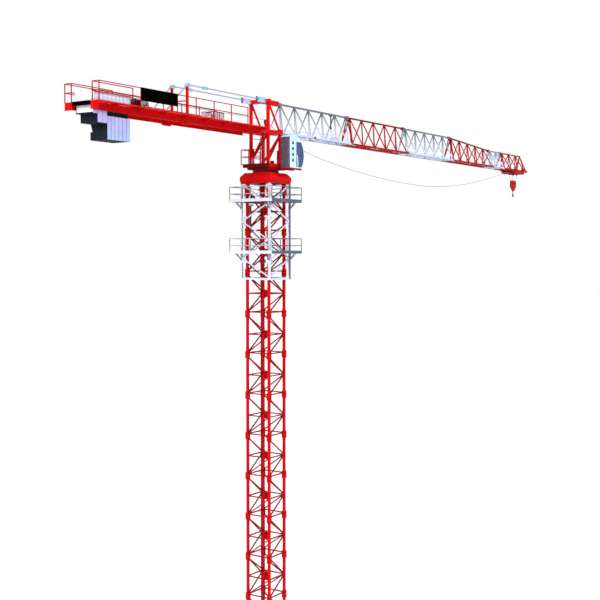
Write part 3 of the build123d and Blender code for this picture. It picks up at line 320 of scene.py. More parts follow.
def paint_wear_and_shading():
    """Paint with faded patches, rain streaks, chips down to primer, a fine orange peel and a second tone
    below a set height; painted shade on braces and on faces turned down, to the rear or ahead of a set place.
    """
    tree, given, out = new_group("Weathered paint", {
        "Paint": (0.8, 0.0, 0.0, 1), "Faded": (0.8, 0.1, 0.1, 1), "Dirt": (0.1, 0.05, 0.04, 1),
        "Primer": (0.2, 0.18, 0.17, 1), "Fade": 0.4, "Streaks": 0.3, "Chips": 0.5, "Gloss": 0.35,
        "Bleached": (0.8, 0.84, 0.9, 1), "Bleached from": -2.0, "Bleached to": -1.0,
        "Rear": (0.1, 0.07, 0.11, 1), "Rear share": 0.0, "Under share": 0.0, "Shaded from": 100.0,
        "Braces": (0.3, 0.0, 0.0, 1), "Braces within": -1.0})
    texture = add(tree, "ShaderNodeTexCoord").outputs
    where = texture["Object"]
    place = split(tree, where)
    normal = split(tree, texture["Normal"])
    patches = ramp(tree, spread(tree, where, 0.9, 5.0), 0.42, 0.72)
    colour = mixed(tree, math_node(tree, "MULTIPLY", patches, given["Fade"]), given["Paint"], given["Faded"])
    # Below a set height the paint gives way to its second tone: a second coat low on the cage, and lighter
    # low members on the jib, whose darker top is painted shade on the white sections.
    level = share(tree, place["Z"], given["Bleached from"], given["Bleached to"])
    colour = mixed(tree, level, given["Bleached"], colour)
    # Members close to the mast's axes take the braces' colour: painted shade on the mast's braces.
    aside = math_node(tree, "MINIMUM", math_node(tree, "ABSOLUTE", place["X"]),
                      math_node(tree, "ABSOLUTE", place["Y"]))
    colour = mixed(tree, math_node(tree, "LESS_THAN", aside, given["Braces within"]), colour, given["Braces"])
    # Faces turned to the rear or down, and all faces ahead of a set place, take the rear colour: painted
    # shade in most finishes, painted light where that colour is pale, as on the cage's platforms and rails.
    rear = math_node(tree, "MULTIPLY", facing(tree, normal, "X"), given["Rear share"])
    under = math_node(tree, "MULTIPLY", facing(tree, normal, "Z"), given["Under share"])
    ahead = math_node(tree, "GREATER_THAN", place["X"], given["Shaded from"])
    shaded = math_node(tree, "MAXIMUM", math_node(tree, "MAXIMUM", rear, under), ahead)
    colour = mixed(tree, shaded, colour, given["Rear"])
    runs = ramp(tree, spread(tree, where, 1.0, 6.0, (9, 9, 0.7)), 0.52, 0.8)
    colour = mixed(tree, math_node(tree, "MULTIPLY", runs, given["Streaks"]), colour, given["Dirt"])
    flakes = ramp(tree, spread(tree, where, 21.0, 8.0, rough=0.7), 0.69, 0.72)
    flakes = math_node(tree, "MULTIPLY", flakes, given["Chips"])
    colour = mixed(tree, flakes, colour, given["Primer"])
    rough = math_node(tree, "MULTIPLY_ADD", patches, 0.25, given["Gloss"])
    rough = math_node(tree, "MULTIPLY_ADD", flakes, 0.3, rough)
    height = math_node(tree, "MULTIPLY_ADD", flakes, -2.0, spread(tree, where, 160.0, 2.0))
    return put_out(tree, out, colour, rough, height, 0.12, 0.002)


def worn_metal():
    """Bare metal with brushed grain, dark grease and a dulled tone."""
    tree, given, out = new_group("Worn metal", {
        "Metal": (0.6, 0.6, 0.6, 1), "Grease": (0.05, 0.045, 0.04, 1), "Greased": 0.3,
        "Stretch": (1, 1, 14), "Gloss": 0.35})
    where = add(tree, "ShaderNodeTexCoord").outputs["Object"]
    mapped = add(tree, "ShaderNodeVectorMath", links={0: where, 1: given["Stretch"]}, operation="MULTIPLY")
    grain = add(tree, "ShaderNodeTexNoise", {"Scale": 30.0, "Detail": 5.0},
                {"Vector": mapped.outputs[0]}).outputs["Fac"]
    tone = mixed(tree, ramp(tree, grain, 0.3, 0.7, 0.0, 0.35), given["Metal"], given["Grease"])
    stains = ramp(tree, spread(tree, where, 4.0, 6.0), 0.45, 0.7)
    colour = mixed(tree, math_node(tree, "MULTIPLY", stains, given["Greased"]), tone, given["Grease"])
    rough = math_node(tree, "MULTIPLY_ADD", grain, 0.3, given["Gloss"])
    return put_out(tree, out, colour, rough, grain, 0.15, 0.002)


def cast_concrete():
    """Concrete with blotches and pores, dark seams from slab to slab, bluer towards the foot and pale above
    the girders; rear faces go near black low down and pale higher up, and undersides and the tall slabs'
    necks under the girders go near black as painted shade.
    """
    tree, given, out = new_group("Cast concrete", {
        "Light": (0.7, 0.7, 0.8, 1), "Dark": (0.24, 0.25, 0.52, 1), "Tar": (0.004, 0.008, 0.012, 1),
        "Top": (0.80, 0.80, 0.83, 1), "Foot": (0.42, 0.56, 0.9, 1), "Foot at": low("ballast_tall").z + 0.04,
        "Tarred below": SHORT_LOW + 0.03, "Girder": GIRDER_LOW, "Front": 0.0, "Pitch": TALL_PITCH,
        "Neck": 0.0})
    texture = add(tree, "ShaderNodeTexCoord").outputs
    where = texture["Object"]
    place = split(tree, where)
    height = place["Z"]
    blotch = ramp(tree, spread(tree, where, 3.2, 7.0), 0.35, 0.75)
    marks = ramp(tree, spread(tree, where, 1.0, 5.0, (12, 12, 1)), 0.5, 0.8, 0.0, 0.5)
    tone = mixed(tree, share(tree, height, given["Foot at"], given["Girder"]), given["Foot"], given["Light"])
    above = math_node(tree, "GREATER_THAN", height, given["Girder"])
    tone = mixed(tree, above, tone, given["Top"])
    mask = math_node(tree, "MULTIPLY", math_node(tree, "MAXIMUM", blotch, marks), 0.4)
    shade = mixed(tree, above, given["Dark"], given["Light"])
    colour = mixed(tree, mask, tone, shade)
    along = math_node(tree, "ADD", place["X"], given["Front"])
    steps = math_node(tree, "FRACT", math_node(tree, "DIVIDE", along, given["Pitch"]))
    seam = math_node(tree, "ABSOLUTE", math_node(tree, "SUBTRACT", steps, 0.5))
    colour = mixed(tree, ramp(tree, seam, 0.36, 0.46, 0.0, 0.75), colour, shade)
    # Rear faces go near black below a set height and pale above it; undersides and the neck under the girders
    # go near black: painted shade.
    normal = split(tree, texture["Normal"])
    rear = facing(tree, normal, "X")
    sunk = math_node(tree, "LESS_THAN", height, given["Tarred below"])
    shown = math_node(tree, "MULTIPLY", rear, math_node(tree, "SUBTRACT", 1.0, sunk))
    colour = mixed(tree, shown, colour, given["Top"])
    darkened = math_node(tree, "MAXIMUM", math_node(tree, "MULTIPLY", rear, sunk), facing(tree, normal, "Z"))
    drop = math_node(tree, "SUBTRACT", given["Girder"], height)
    necked = math_node(tree, "MULTIPLY", math_node(tree, "LESS_THAN", drop, given["Neck"]),
                       math_node(tree, "GREATER_THAN", drop, 0.0))
    colour = mixed(tree, math_node(tree, "MAXIMUM", darkened, necked), colour, given["Tar"])
    pores = add(tree, "ShaderNodeTexVoronoi", {"Scale": 55.0}, {"Vector": where}).outputs["Distance"]
    pits = ramp(tree, pores, 0.0, 0.22)
    relief = math_node(tree, "MULTIPLY_ADD", spread(tree, where, 120.0, 3.0), 0.4, pits)
    return put_out(tree, out, colour, ramp(tree, blotch, 0.0, 1.0, 0.78, 0.95), relief, 0.35, 0.003)


def tread_mesh():
    """Steel tread plate: raised bars turned two ways, and paint on the edges."""
    tree, given, out = new_group("Tread plate", {
        "Metal": (0.5, 0.5, 0.5, 1), "Dirt": (0.1, 0.09, 0.08, 1), "Edge": (0.8, 0.004, 0.004, 1)})
    texture = add(tree, "ShaderNodeTexCoord").outputs
    where = texture["Object"]
    waves = []
    for turn in (0.785, -0.785):
        mapped = add(tree, "ShaderNodeMapping", {"Rotation": (0, 0, turn)}, {"Vector": where})
        waves.append(add(tree, "ShaderNodeTexWave", {"Scale": 14.0}, {"Vector": mapped.outputs["Vector"]},
                         wave_profile="SIN").outputs["Fac"])
    bars = math_node(tree, "MULTIPLY", *waves)
    grime = ramp(tree, spread(tree, where, 2.2, 6.0), 0.4, 0.75, 0.1, 0.8)
    between = ramp(tree, bars, 0.2, 0.6, 1.0, 0.35)
    colour = mixed(tree, math_node(tree, "MULTIPLY", grime, between), given["Metal"], given["Dirt"])
    edge = math_node(tree, "LESS_THAN", split(tree, texture["Normal"])["Z"], 0.5)
    colour = mixed(tree, edge, colour, given["Edge"])
    return put_out(tree, out, colour, ramp(tree, grime, 0.0, 1.0, 0.4, 0.75), bars, 0.5, 0.004)


def wire_strands():
    """Lay of a wire rope's strands along the rope."""
    tree, given, out = new_group("Wire strands", {
        "Wire": (0.35, 0.35, 0.38, 1), "Groove": (0.05, 0.05, 0.05, 1)})
    where = add(tree, "ShaderNodeTexCoord").outputs["Object"]
    wave = add(tree, "ShaderNodeTexWave", {"Scale": 26.0, "Distortion": 0.6}, {"Vector": where},
               bands_direction="DIAGONAL").outputs["Fac"]
    colour = mixed(tree, ramp(tree, wave, 0.25, 0.7), given["Groove"], given["Wire"])
    rough = ramp(tree, spread(tree, where, 1.4, 3.0), 0.3, 0.7, 0.35, 0.6)
    return put_out(tree, out, colour, rough, wave, 0.4, 0.002)


# Finishes of the crane

GROUPS = {}
MATERIALS = {}


def material(name, group, values, metallic=0.0, **sockets):
    """A principled material fed by a shared group; sockets are constants of the shader."""
    made = bpy.data.materials.new(name)
    made.use_nodes = True
    tree = made.node_tree
    shader = tree.nodes["Principled BSDF"]
    shader.inputs["Metallic"].default_value = metallic
    for key, value in sockets.items():
        shader.inputs[key.replace("_", " ")].default_value = value
    held = tree.nodes.new("ShaderNodeGroup")
    held.node_tree = GROUPS[group]
    for key, value in values.items():
        held.inputs[key].default_value = value
    for source, target in (("Color", "Base Color"), ("Roughness", "Roughness"), ("Normal", "Normal")):
        tree.links.new(held.outputs[source], shader.inputs[target])
    MATERIALS[name] = made


def painted(name, paint, faded, more=None, fade=0.3, gloss=0.42, shine=0.06, **sockets):
    """A painted finish; more holds what else the paint group is given."""
    values = {"Paint": paint, "Faded": faded, "Fade": fade, "Gloss": gloss, **(more or {})}
    material(name, "paint", values, Specular_IOR_Level=shine, **sockets)


PLAIN_PAINTS = {
    # The rest plates' red is brighter than the mast's: painted light on plates that sit in the legs' shade.
    "rest_red": ((0.95, 0.000, 0.003, 1), (0.95, 0.004, 0.004, 1)),
    "bolt_red": ((0.30, 0.001, 0.003, 1), (0.36, 0.006, 0.008, 1)),
    "dark_red": ((0.11, 0.003, 0.005, 1), (0.18, 0.010, 0.010, 1)),
    "ladder_pink": ((0.62, 0.20, 0.24, 1), (0.72, 0.34, 0.36, 1)),
    "motor_grey": ((0.13, 0.14, 0.16, 1), (0.2, 0.2, 0.22, 1)),
    "tie_grey": ((0.36, 0.40, 0.47, 1), (0.44, 0.48, 0.55, 1)),
    "plate_blue": ((0.36, 0.56, 0.72, 1), (0.50, 0.64, 0.76, 1)),
    "knuckle_violet": ((0.62, 0.54, 0.82, 1), (0.68, 0.62, 0.86, 1)),
    "fitting_blue": ((0.05, 0.07, 0.14, 1), (0.10, 0.12, 0.2, 1)),
    "rail_red": ((0.44, 0.000, 0.006, 1), (0.50, 0.006, 0.012, 1)),
    "cabinet": ((0.72, 0.50, 0.54, 1), (0.8, 0.62, 0.64, 1)),
    "bright_white": ((0.86, 0.88, 0.9, 1), (0.9, 0.91, 0.92, 1)),
}
SHADED_RED = (0.06, 0.001, 0.003, 1)
# Dark navy that the cage's front corner takes as painted shade.
PAINTED_CAGE_SHADE = PLAIN_PAINTS["fitting_blue"][0]


def red_paints(colours):
    """Reds of the crane, darker as painted shade on faces turned down, on the turntable's rear faces and on
    the mast's braces; the red jib sections are a darker red, lighter on their low members.
    """
    painted("red", colours.crane_red, (0.72, 0.004, 0.004, 1), {"Rear": SHADED_RED, "Under share": 0.8})
    # The mast's braces take a darker red: painted shade.
    painted("mast_red", colours.mast_red, (0.60, 0.004, 0.006, 1),
            {"Braces": (0.30, 0.001, 0.006, 1), "Braces within": LEG_AT - LEG / 2 - 0.03})
    # The red jib sections take a lighter red on their low members, and painted shade on faces turned down.
    painted("jib_red", colours.jib_red, (0.26, 0.003, 0.006, 1),
            {"Bleached": (0.41, 0.000, 0.003, 1), "Bleached from": CHORDS + 0.6, "Bleached to": CHORDS + 0.98,
             "Rear": SHADED_RED, "Under share": 0.8})
    # The turntable's rear faces take a near black red: painted shade.
    painted("table_red", (0.50, 0.000, 0.002, 1), (0.55, 0.004, 0.004, 1),
            {"Rear": (0.07, 0.001, 0.003, 1), "Rear share": 0.9})


def cage_paints(colours):
    """Finishes of the climbing cage: white with a red top, dark navy as painted shade on its front corner,
    and platforms and rails painted dark where shaded and pale on their rear faces as painted light.
    """
    painted("cage_white", colours.cage_white, (0.76, 0.80, 0.88, 1))
    topped = {"Bleached": colours.cage_white, "Bleached from": TRAY - 0.08, "Bleached to": TRAY - 0.07}
    faded = (0.60, 0.004, 0.006, 1)
    painted("cage_paint", colours.mast_red, faded, topped, fade=0.4, shine=0.1)
    # Ahead of the front posts the cage takes dark navy: painted shade.
    cornered = {**topped, "Rear": PAINTED_CAGE_SHADE, "Shaded from": CAGE_AT - 0.06}
    painted("cage_near", colours.mast_red, faded, cornered, fade=0.4, shine=0.1)
    # Platforms and rails: dark where shaded and pale on their rear faces, as painted shade and painted light.
    painted("platform_slate", (0.07, 0.11, 0.19, 1), (0.12, 0.17, 0.26, 1),
            {"Rear": (0.74, 0.77, 0.84, 1), "Rear share": 1.0}, fade=0.4, shine=0.1)
    painted("rail_slate", (0.08, 0.09, 0.11, 1), (0.13, 0.14, 0.16, 1),
            {"Rear": (0.42, 0.43, 0.46, 1), "Rear share": 1.0}, fade=0.4, shine=0.1)


def upper_paints(colours):
    """Finishes of the board, the white jib sections and the cab."""
    painted("board", colours.board, colours.board, {"Chips": 0.0, "Streaks": 0.0}, fade=0.4, gloss=0.7,
            shine=0.0)
    # The white jib sections darken towards the top as painted shade over their white lower tone; their
    # undersides are painted dark as shade, and their dark blue streaks are partly dirt and partly painted
    # shadow.
    painted("jib_white", (0.14, 0.16, 0.20, 1), (0.24, 0.27, 0.32, 1),
            {"Bleached": colours.jib_white, "Bleached from": CHORDS + 0.2, "Bleached to": CHORDS + 0.95,
             "Dirt": (0.05, 0.07, 0.14, 1), "Streaks": 0.6, "Rear": (0.03, 0.045, 0.10, 1),
             "Under share": 0.9}, fade=0.4, shine=0.16)
    # The cab's back faces take a dark purple grey: painted shade.
    painted("cab_white", colours.cab_white, (0.68, 0.84, 0.90, 1),
            {"Rear": (0.085, 0.06, 0.10, 1), "Rear share": 1.0}, gloss=0.36, shine=0.2)
    painted("rubber", (0.01, 0.01, 0.012, 1), (0.03, 0.03, 0.032, 1), fade=0.4, gloss=0.6, shine=0.5)
    painted("seat", (0.02, 0.022, 0.03, 1), (0.05, 0.05, 0.06, 1), {"Chips": 0.0}, fade=0.4, gloss=0.75,
            shine=0.5, Sheen_Weight=0.3)


def metals_and_glass():
    """Galvanised, cast and bare metal, wire rope, tread plate and the cab's tinted glass."""
    material("steel", "metal", {"Metal": (0.42, 0.43, 0.46, 1)}, metallic=0.85)
    material("zinc", "metal", {"Metal": (0.62, 0.64, 0.68, 1), "Greased": 0.12}, metallic=0.9)
    material("cast", "metal", {"Metal": (0.03, 0.03, 0.034, 1), "Grease": (0.01, 0.01, 0.01, 1),
                               "Greased": 0.5}, metallic=0.2, Specular_IOR_Level=0.2)
    material("tread", "tread", {}, Specular_IOR_Level=0.2)
    material("rope", "wire", {"Wire": (0.03, 0.03, 0.034, 1), "Groove": (0.006, 0.006, 0.006, 1)},
             metallic=0.2)
    # On the glass the group's grease gives lighter blue patches and grain.
    material("glass", "metal", {"Metal": (0.02, 0.055, 0.22, 1), "Grease": (0.07, 0.13, 0.26, 1),
                                "Greased": 0.6, "Stretch": (1, 1, 2), "Gloss": 0.02},
             Alpha=0.86, IOR=1.5, Specular_IOR_Level=0.5)


def slab_concrete(colours):
    """Concrete of the tall and the short slabs, with the seams of each at its own pitch."""
    # The tall slabs' neck is the band under the girders that is painted near black as shade.
    for name, node, more in (("slabs_tall", "ballast_tall", {"Pitch": TALL_PITCH, "Neck": 0.129}),
                             ("slabs_short", "ballast_short", {"Pitch": SHORT_PITCH})):
        material(name, "concrete", {"Light": colours.concrete, "Front": -high(node).x, **more},
                 Specular_IOR_Level=0.2)


NODE_PAINT = {
    "counter_jib_deck": "tread", "sign_board": "board", "tie_bars": "tie_grey", "cab_bracket": "bolt_red",
    "cab_shell": "cab_white", "cab_sides": "cab_white", "cab_glass": "glass", "hoist_winch": "dark_red",
    "winch_drum": "zinc", "guide_sheaves": "cast", "block_sheaves": "cast", "trolley_wheels": "cast",
    "hook": "cast", "hoist_rope": "rope", "slack_rope": "rope", "rope_falls": "rope",
    # The slewing rings' dark red is partly their paint and partly painted shade of the gap under the
    # turntable.
    "ballast_tall": "slabs_tall", "ballast_short": "slabs_short", "slewing_ring_lower": "dark_red",
    "slewing_ring_upper": "dark_red", "jib_section_1": "jib_white", "jib_section_3": "jib_white",
    "jib_section_5": "jib_white", "turntable": "table_red", "trolley_frame": "jib_red",
    "trolley_basket": "jib_red", "hook_block": "jib_red", "climbing_cage_rear": "cage_paint",
    # The cage's front takes dark navy and its far side grey: painted shade on the white cage.
    "climbing_cage_near": "cage_near", "climbing_cage_front": "fitting_blue",
    "climbing_cage_far": "tie_grey", "cage_platforms": "platform_slate", "cage_railings": "rail_slate",
}
KIND_PAINT = {"mast_": "mast_red", "jib_": "jib_red", "counter_jib_railing": "rail_red"}


def paint_of(node):
    """The material that a node wears."""
    of_kind = next((paint for start, paint in KIND_PAINT.items() if node.startswith(start)), "red")
    return NODE_PAINT.get(node, of_kind)


# Bars, rods, bolts, blocks, tubes, cushions and ladders

def bar_matrix(start, end, up):
    """Turns a box along +X from the origin onto the line from start to end."""
    start, end = Vector(start), Vector(end)
    along = (end - start).normalized()
    up = Vector(up) if abs(along.dot(Vector(up).normalized())) < 0.99 else Vector((0, 1, 0))
    side = up.cross(along).normalized()
    turn = Matrix((along, side, along.cross(side))).transposed().to_4x4()
    return Matrix.Translation(start) @ turn


def add_sides(mesh, rings, slot, smooth=False, closed=False):
    """Faces from ring to ring, with a flat face on each end unless the last ring meets the first."""
    faces = []
    for first, second in zip(rings, rings[1:] + rings[:1] if closed else rings[1:]):
        count = len(first)
        for k in range(count):
            n = (k + 1) % count
            faces.append(mesh.faces.new((first[k], first[n], second[n], second[k])))
            faces[-1].smooth = smooth
    if not closed:
        faces += [mesh.faces.new(list(reversed(rings[0]))), mesh.faces.new(rings[-1])]
    for face in faces:
        face.material_index = slot
    return faces


def add_bar(mesh, start, end, width, height=None, up=(0, 0, 1), slot=0):
    """A straight bar with chamfered long edges."""
    length = (Vector(end) - Vector(start)).length
    w, h = width / 2, (height or width) / 2
    c = min(w, h) * 0.3
    ring = [(w, h - c), (w - c, h), (c - w, h), (-w, h - c),
            (-w, c - h), (c - w, -h), (w - c, -h), (w, c - h)]
    place = bar_matrix(start, end, up)
    add_sides(mesh, [[mesh.verts.new(place @ Vector((x, a, b))) for a, b in ring] for x in (0, length)], slot)


def add_rod(mesh, start, end, radius, sides=10, slot=0, top=None):
    """A round rod, or a cone where top is its radius at the end."""
    start, end = Vector(start), Vector(end)
    up = (0, 0, 1) if abs((end - start).normalized().z) < 0.9 else (1, 0, 0)
    place = bar_matrix(start, end, up)
    turns = [2 * math.pi * k / sides for k in range(sides)]
    rings = [[mesh.verts.new(place @ Vector((x, r * math.cos(turn), r * math.sin(turn)))) for turn in turns]
             for x, r in ((0, radius), ((end - start).length, top or radius))]
    add_sides(mesh, rings, slot, smooth=sides > 6)


def add_pin(mesh, centre, half, radius, sides=16, slot=0):
    """A round pin along Y, centred on a point."""
    reach = Vector((0, half, 0))
    add_rod(mesh, Vector(centre) - reach, Vector(centre) + reach, radius, sides, slot)


def add_bolt(mesh, at, axis, radius, slot=0):
    """A hexagon head on a round washer."""
    at, axis = Vector(at), Vector(axis)
    washer = at + axis * radius * 0.3
    add_rod(mesh, at, washer, radius * 1.5, 10, slot)
    add_rod(mesh, washer, at + axis * radius * 1.3, radius, 6, slot)


def add_block(mesh, x, y, z, slot=0):
    """A chamfered block given by its limits along each axis."""
    centre = (sum(y) / 2, sum(z) / 2)
    add_bar(mesh, (min(x), *centre), (max(x), *centre), abs(y[1] - y[0]), z[1] - z[0], slot=slot)


def add_tube(mesh, points, radius, sides=8, closed=False):
    """A round tube along a line of points."""
    points = [Vector(point) for point in points]
    count = len(points)
    rings, side = [], None
    for index, point in enumerate(points):
        before = points[index - 1] if index or closed else point
        after = points[(index + 1) % count] if index + 1 < count or closed else point
        along = (after - before).normalized()
        side = along.orthogonal() if side is None else side - along * side.dot(along)
        side.normalize()
        ring = circle(point, radius, side, along.cross(side), sides)
        rings.append([mesh.verts.new(corner) for corner in ring])
    for face in add_sides(mesh, rings, 0, smooth=True, closed=closed)[sides * (count - 1):]:
        face.smooth = closed


def circle(centre, radius, first, second, count, start=0.0, end=1.0):
    """Points round a circle in the plane of two directions; start and end are shares of a turn."""
    centre, first, second = Vector(centre), Vector(first), Vector(second)
    turns = [2 * math.pi * (start + (end - start) * k / count) for k in range(count)]
    return [centre + radius * (first * math.cos(turn) + second * math.sin(turn)) for turn in turns]


def spokes(count, second=(0, 1, 0)):
    """Directions spread evenly round a turn from +X towards a second one."""
    return circle((0, 0, 0), 1, (1, 0, 0), second, count)


def add_cushion(mesh, centre, size, slot=0, rows=10, columns=20, fullness=0.45):
    """A crowned pad whose sides pull in towards its corners."""
    def swell(value):
        """Pulls the round of a cosine or sine out towards a box."""
        return math.copysign(abs(value) ** fullness, value)

    rings = []
    for row in range(1, rows):
        tilt = math.pi * (row / rows - 0.5)
        around, rise = swell(math.cos(tilt)), swell(math.sin(tilt))
        ring = [(swell(math.cos(turn)) * around, swell(math.sin(turn)) * around, rise)
                for turn in (2 * math.pi * k / columns for k in range(columns))]
        rings.append([mesh.verts.new([c + s / 2 * p for c, s, p in zip(centre, size, point)])
                      for point in ring])
    for face in add_sides(mesh, rings, slot):
        face.smooth = True


def add_ladder(mesh, foot, height, width, pitch):
    """Two rails along Z, spaced in X, with rungs between them."""
    x, y, z = foot
    half = width / 2
    for rail in (x - half, x + half):
        add_bar(mesh, (rail, y, z), (rail, y, z + height), 0.018, 0.026, (0, 1, 0))
    for k in range(int(height / pitch)):
        level = z + (k + 0.5) * pitch
        add_rod(mesh, (x - half, y, level), (x + half, y, level), 0.007, 8)


def span(centre, half):
    """Limits on both sides of a place."""
    return centre - half, centre + half


def added(name, data):
    """An object in the scene that shows this data."""
    made = bpy.data.objects.new(name, data)
    bpy.context.scene.collection.objects.link(made)
    return made


def piece(model, body, materials, slot, *sizes, replaces=()):
    """Makes the piece that a function models, named as the function is, and lets it ride on a body."""
    if not MATERIALS:
        raise RuntimeError("The crane is painted before its fittings are added")
    mesh = bmesh.new()
    model(mesh, *sizes)
    bmesh.ops.recalc_face_normals(mesh, faces=mesh.faces)
    data = bpy.data.meshes.new(model.__name__)
    mesh.to_mesh(data)
    mesh.free()
    made = added(model.__name__, data)
    for entry in materials:
        data.materials.append(MATERIALS[entry])
    if body:
        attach(made, body)
    if replaces:
        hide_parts(*replaces)
    return made


def legs():
    """The mast's four legs in order round it."""
    return [(-LEG_AT, LEG_AT), (-LEG_AT, -LEG_AT), (LEG_AT, -LEG_AT), (LEG_AT, LEG_AT)]


# Mast

def mast_bolts(mesh, radius):
    """Bolt heads on the collars of the legs' joints and on the ground plates."""
    for level, (x, y) in product(range(SECTIONS + 1), legs()):
        for axis in ((math.copysign(1, x), 0, 0), (0, math.copysign(1, y), 0)):
            side = Vector(axis)
            along = Vector((abs(side.y), abs(side.x), 0))
            face = Vector((x, y, BASE + level * SECTION)) + side * COLLAR / 2
            for shift, rise in product((-0.032, 0.032), (-0.07, 0.07)):
                at = face + along * shift + UP * rise
                if BASE - 0.1 < at.z < MAST_TOP:
                    add_bolt(mesh, at, side, radius)
    for (x, y), dx, dy in product(legs(), (-0.12, 0.12), (-0.12, 0.12)):
        add_bolt(mesh, (x + dx, y + dy, GROUND_PLATE), UP, radius * 1.4)


def mast_rest_plates(mesh, radius):
    """Channel plates in the middle of each section, on which the cage rests as it climbs."""
    half, flange = 0.125, 0.012
    for level in range(SECTIONS):
        z = BASE + (level + 0.5) * SECTION
        add_block(mesh, span(0, 0.15), (-0.02, -0.008), span(z, half))
        for edge in (z + half - flange, z - half):
            add_block(mesh, span(0, 0.15), (-0.04, -0.02), (edge, edge + flange))
        for x in (-0.1, 0.1):
            add_bolt(mesh, (x, -0.02, z), (0, -1, 0), radius)


def mast_ladder(mesh, width, rung):
    """Ladder inside the mast, held to the far side's bars."""
    x, y = 0.24, LEG_AT - 0.14
    add_ladder(mesh, (x, y, BASE), MAST_TOP + 0.2 - BASE, width, rung)
    for level in range(2 * SECTIONS + 1):
        z = BASE + level * SECTION / 2 + (0 if level % 2 else 0.04)
        for rail in span(x, width / 2):
            add_bar(mesh, (rail, y, z), (rail, LEG_AT - 0.01, z), 0.014)


# Climbing cage

def cage_rollers(mesh, radius):
    """Rollers on the outer faces of the mast's legs, with their cheeks and their back plates."""
    centre = LEG_AT + LEG / 2 + radius + 0.001
    inner = CAGE_AT - CAGE_POST / 2
    for z, (x, y), turned in product((CAGE_LOW + 0.62, CAGE_LOW + 2.1, TRAY - 0.16), legs(), (False, True)):
        def place(out, along):
            """A point at the leg, out from its face and along it."""
            out, along = math.copysign(out, x), math.copysign(along, y)
            return (along, out, z) if turned else (out, along, z)

        for along in span(LEG_AT, 0.034):
            add_bar(mesh, place(centre - 0.012, along), place(inner, along), 0.006, 0.07, slot=1)
        for half, round_by, sides in ((0.028, radius, 16), (0.044, radius * 0.4, 10)):
            add_rod(mesh, place(centre, LEG_AT - half), place(centre, LEG_AT + half), round_by, sides)
        add_bar(mesh, place(inner - 0.006, LEG_AT - 0.05), place(inner - 0.006, CAGE_AT), 0.012, 0.12, slot=1)


def climbing_ram(mesh):
    """Hydraulic ram on the cage's far side, with its rod and its two brackets."""
    y = CAGE_AT + 0.075
    foot, head, cap = CAGE_LOW + 1.6, CAGE_LOW + 2.56, 0.04
    add_rod(mesh, (0, y, foot), (0, y, head), 0.048, 20)
    for z in (foot, head - cap):
        add_rod(mesh, (0, y, z), (0, y, z + cap), 0.056, 20)
    add_rod(mesh, (0, y, foot - 0.58), (0, y, foot), 0.026, 16, slot=1)
    for z in (foot - 0.6, head):
        add_block(mesh, span(0, 0.09), (CAGE_AT - 0.01, y + 0.04), span(z, 0.03), slot=2)


def cage_toe_boards(mesh):
    """Toe boards round the edges of both platforms."""
    edge = high("cage_platforms")
    half = edge.x - 0.006
    for top, axis in product((edge.z, edge.z - SECTION * 1.25), range(4)):
        turn = Matrix.Rotation(math.pi / 2 * axis, 3, "Z")
        add_bar(mesh, *(turn @ Vector((end, half, top + 0.04)) for end in (-half, half)), 0.008, 0.08)


# Slewing gear and tower

def slewing_teeth(mesh, count):
    """Teeth round the lower half of the slewing ring."""
    rim = high("slewing_ring_lower").x - 0.002
    for out in spokes(count):
        foot = out * rim + UP * (RING + 0.022)
        add_bar(mesh, foot, foot + out * 0.014, 0.016, 0.036)


def slewing_motors(mesh):
    """Two slewing gearboxes with flanged, ribbed motors, and the switch box between them."""
    stack = ((0.076, 0.0, 0.02, 0), (0.056, 0.02, 0.2, 0), (0.066, 0.2, 0.22, 1), (0.042, 0.22, 0.42, 1),
             (0.048, 0.42, 0.5, 2))
    for x, y in ((0.47, -0.2), (-0.47, 0.2)):
        centre = Vector((x, y, FLOOR))
        for radius, start, end, slot in stack:
            add_rod(mesh, centre + UP * start, centre + UP * end, radius, 24, slot)
        for out in spokes(12):
            foot = centre + UP * 0.23 + out * 0.046
            add_bar(mesh, foot, foot + UP * 0.18, 0.005, 0.014, out, 1)
            add_bolt(mesh, centre + UP * 0.02 + out * 0.067, UP, 0.005, 1)
    add_block(mesh, (0.2, 0.3), (-0.15, -0.05), (FLOOR, FLOOR + 0.14), 3)
    add_block(mesh, (0.21, 0.29), (-0.155, -0.15), (FLOOR + 0.02, FLOOR + 0.12), 3)


def tower_ladder(mesh, width, rung):
    """Ladder inside the slewing tower, held by two cross bars."""
    x, y, bar_y = 0.1, 0.21, 0.335
    height = TOWER_TOP - 0.12 - FLOOR
    add_ladder(mesh, (x, y, FLOOR), height, width, rung)
    for z in (FLOOR + height * 0.25, FLOOR + height * 0.85):
        add_bar(mesh, (-0.33, bar_y, z), (0.33, bar_y, z), 0.02)
        for rail in span(x, width / 2):
            add_bar(mesh, (rail, y, z), (rail, bar_y, z), 0.014)


def head_pins(mesh):
    """Bolts of the tower head's feet and beam, and the pins in its lug over the jib."""
    for y, rise, way in product(span(0, TOWER_LEG_AT), (0.03, 0.09), (-1, 1)):
        add_bolt(mesh, (-TOWER_LEG_AT + way * TOWER_LEG / 2, y, TOWER_TOP + rise), (way, 0, 0), 0.009)
    for x in (-0.3, 0.12, 0.64):
        add_pin(mesh, (x, 0, JIB_TOP - 0.03), 0.075, 0.02)
    for y in (-0.42, -0.2, 0.2, 0.42):
        add_bolt(mesh, (-TOWER_LEG_AT, y, TOWER_TOP + HEAD_H), UP, 0.013)


# Cab

CAB_SILL, CAB_BELLY, CAB_BROW = (0.725, 0.0), (0.88, 0.47), (0.715, 0.905)


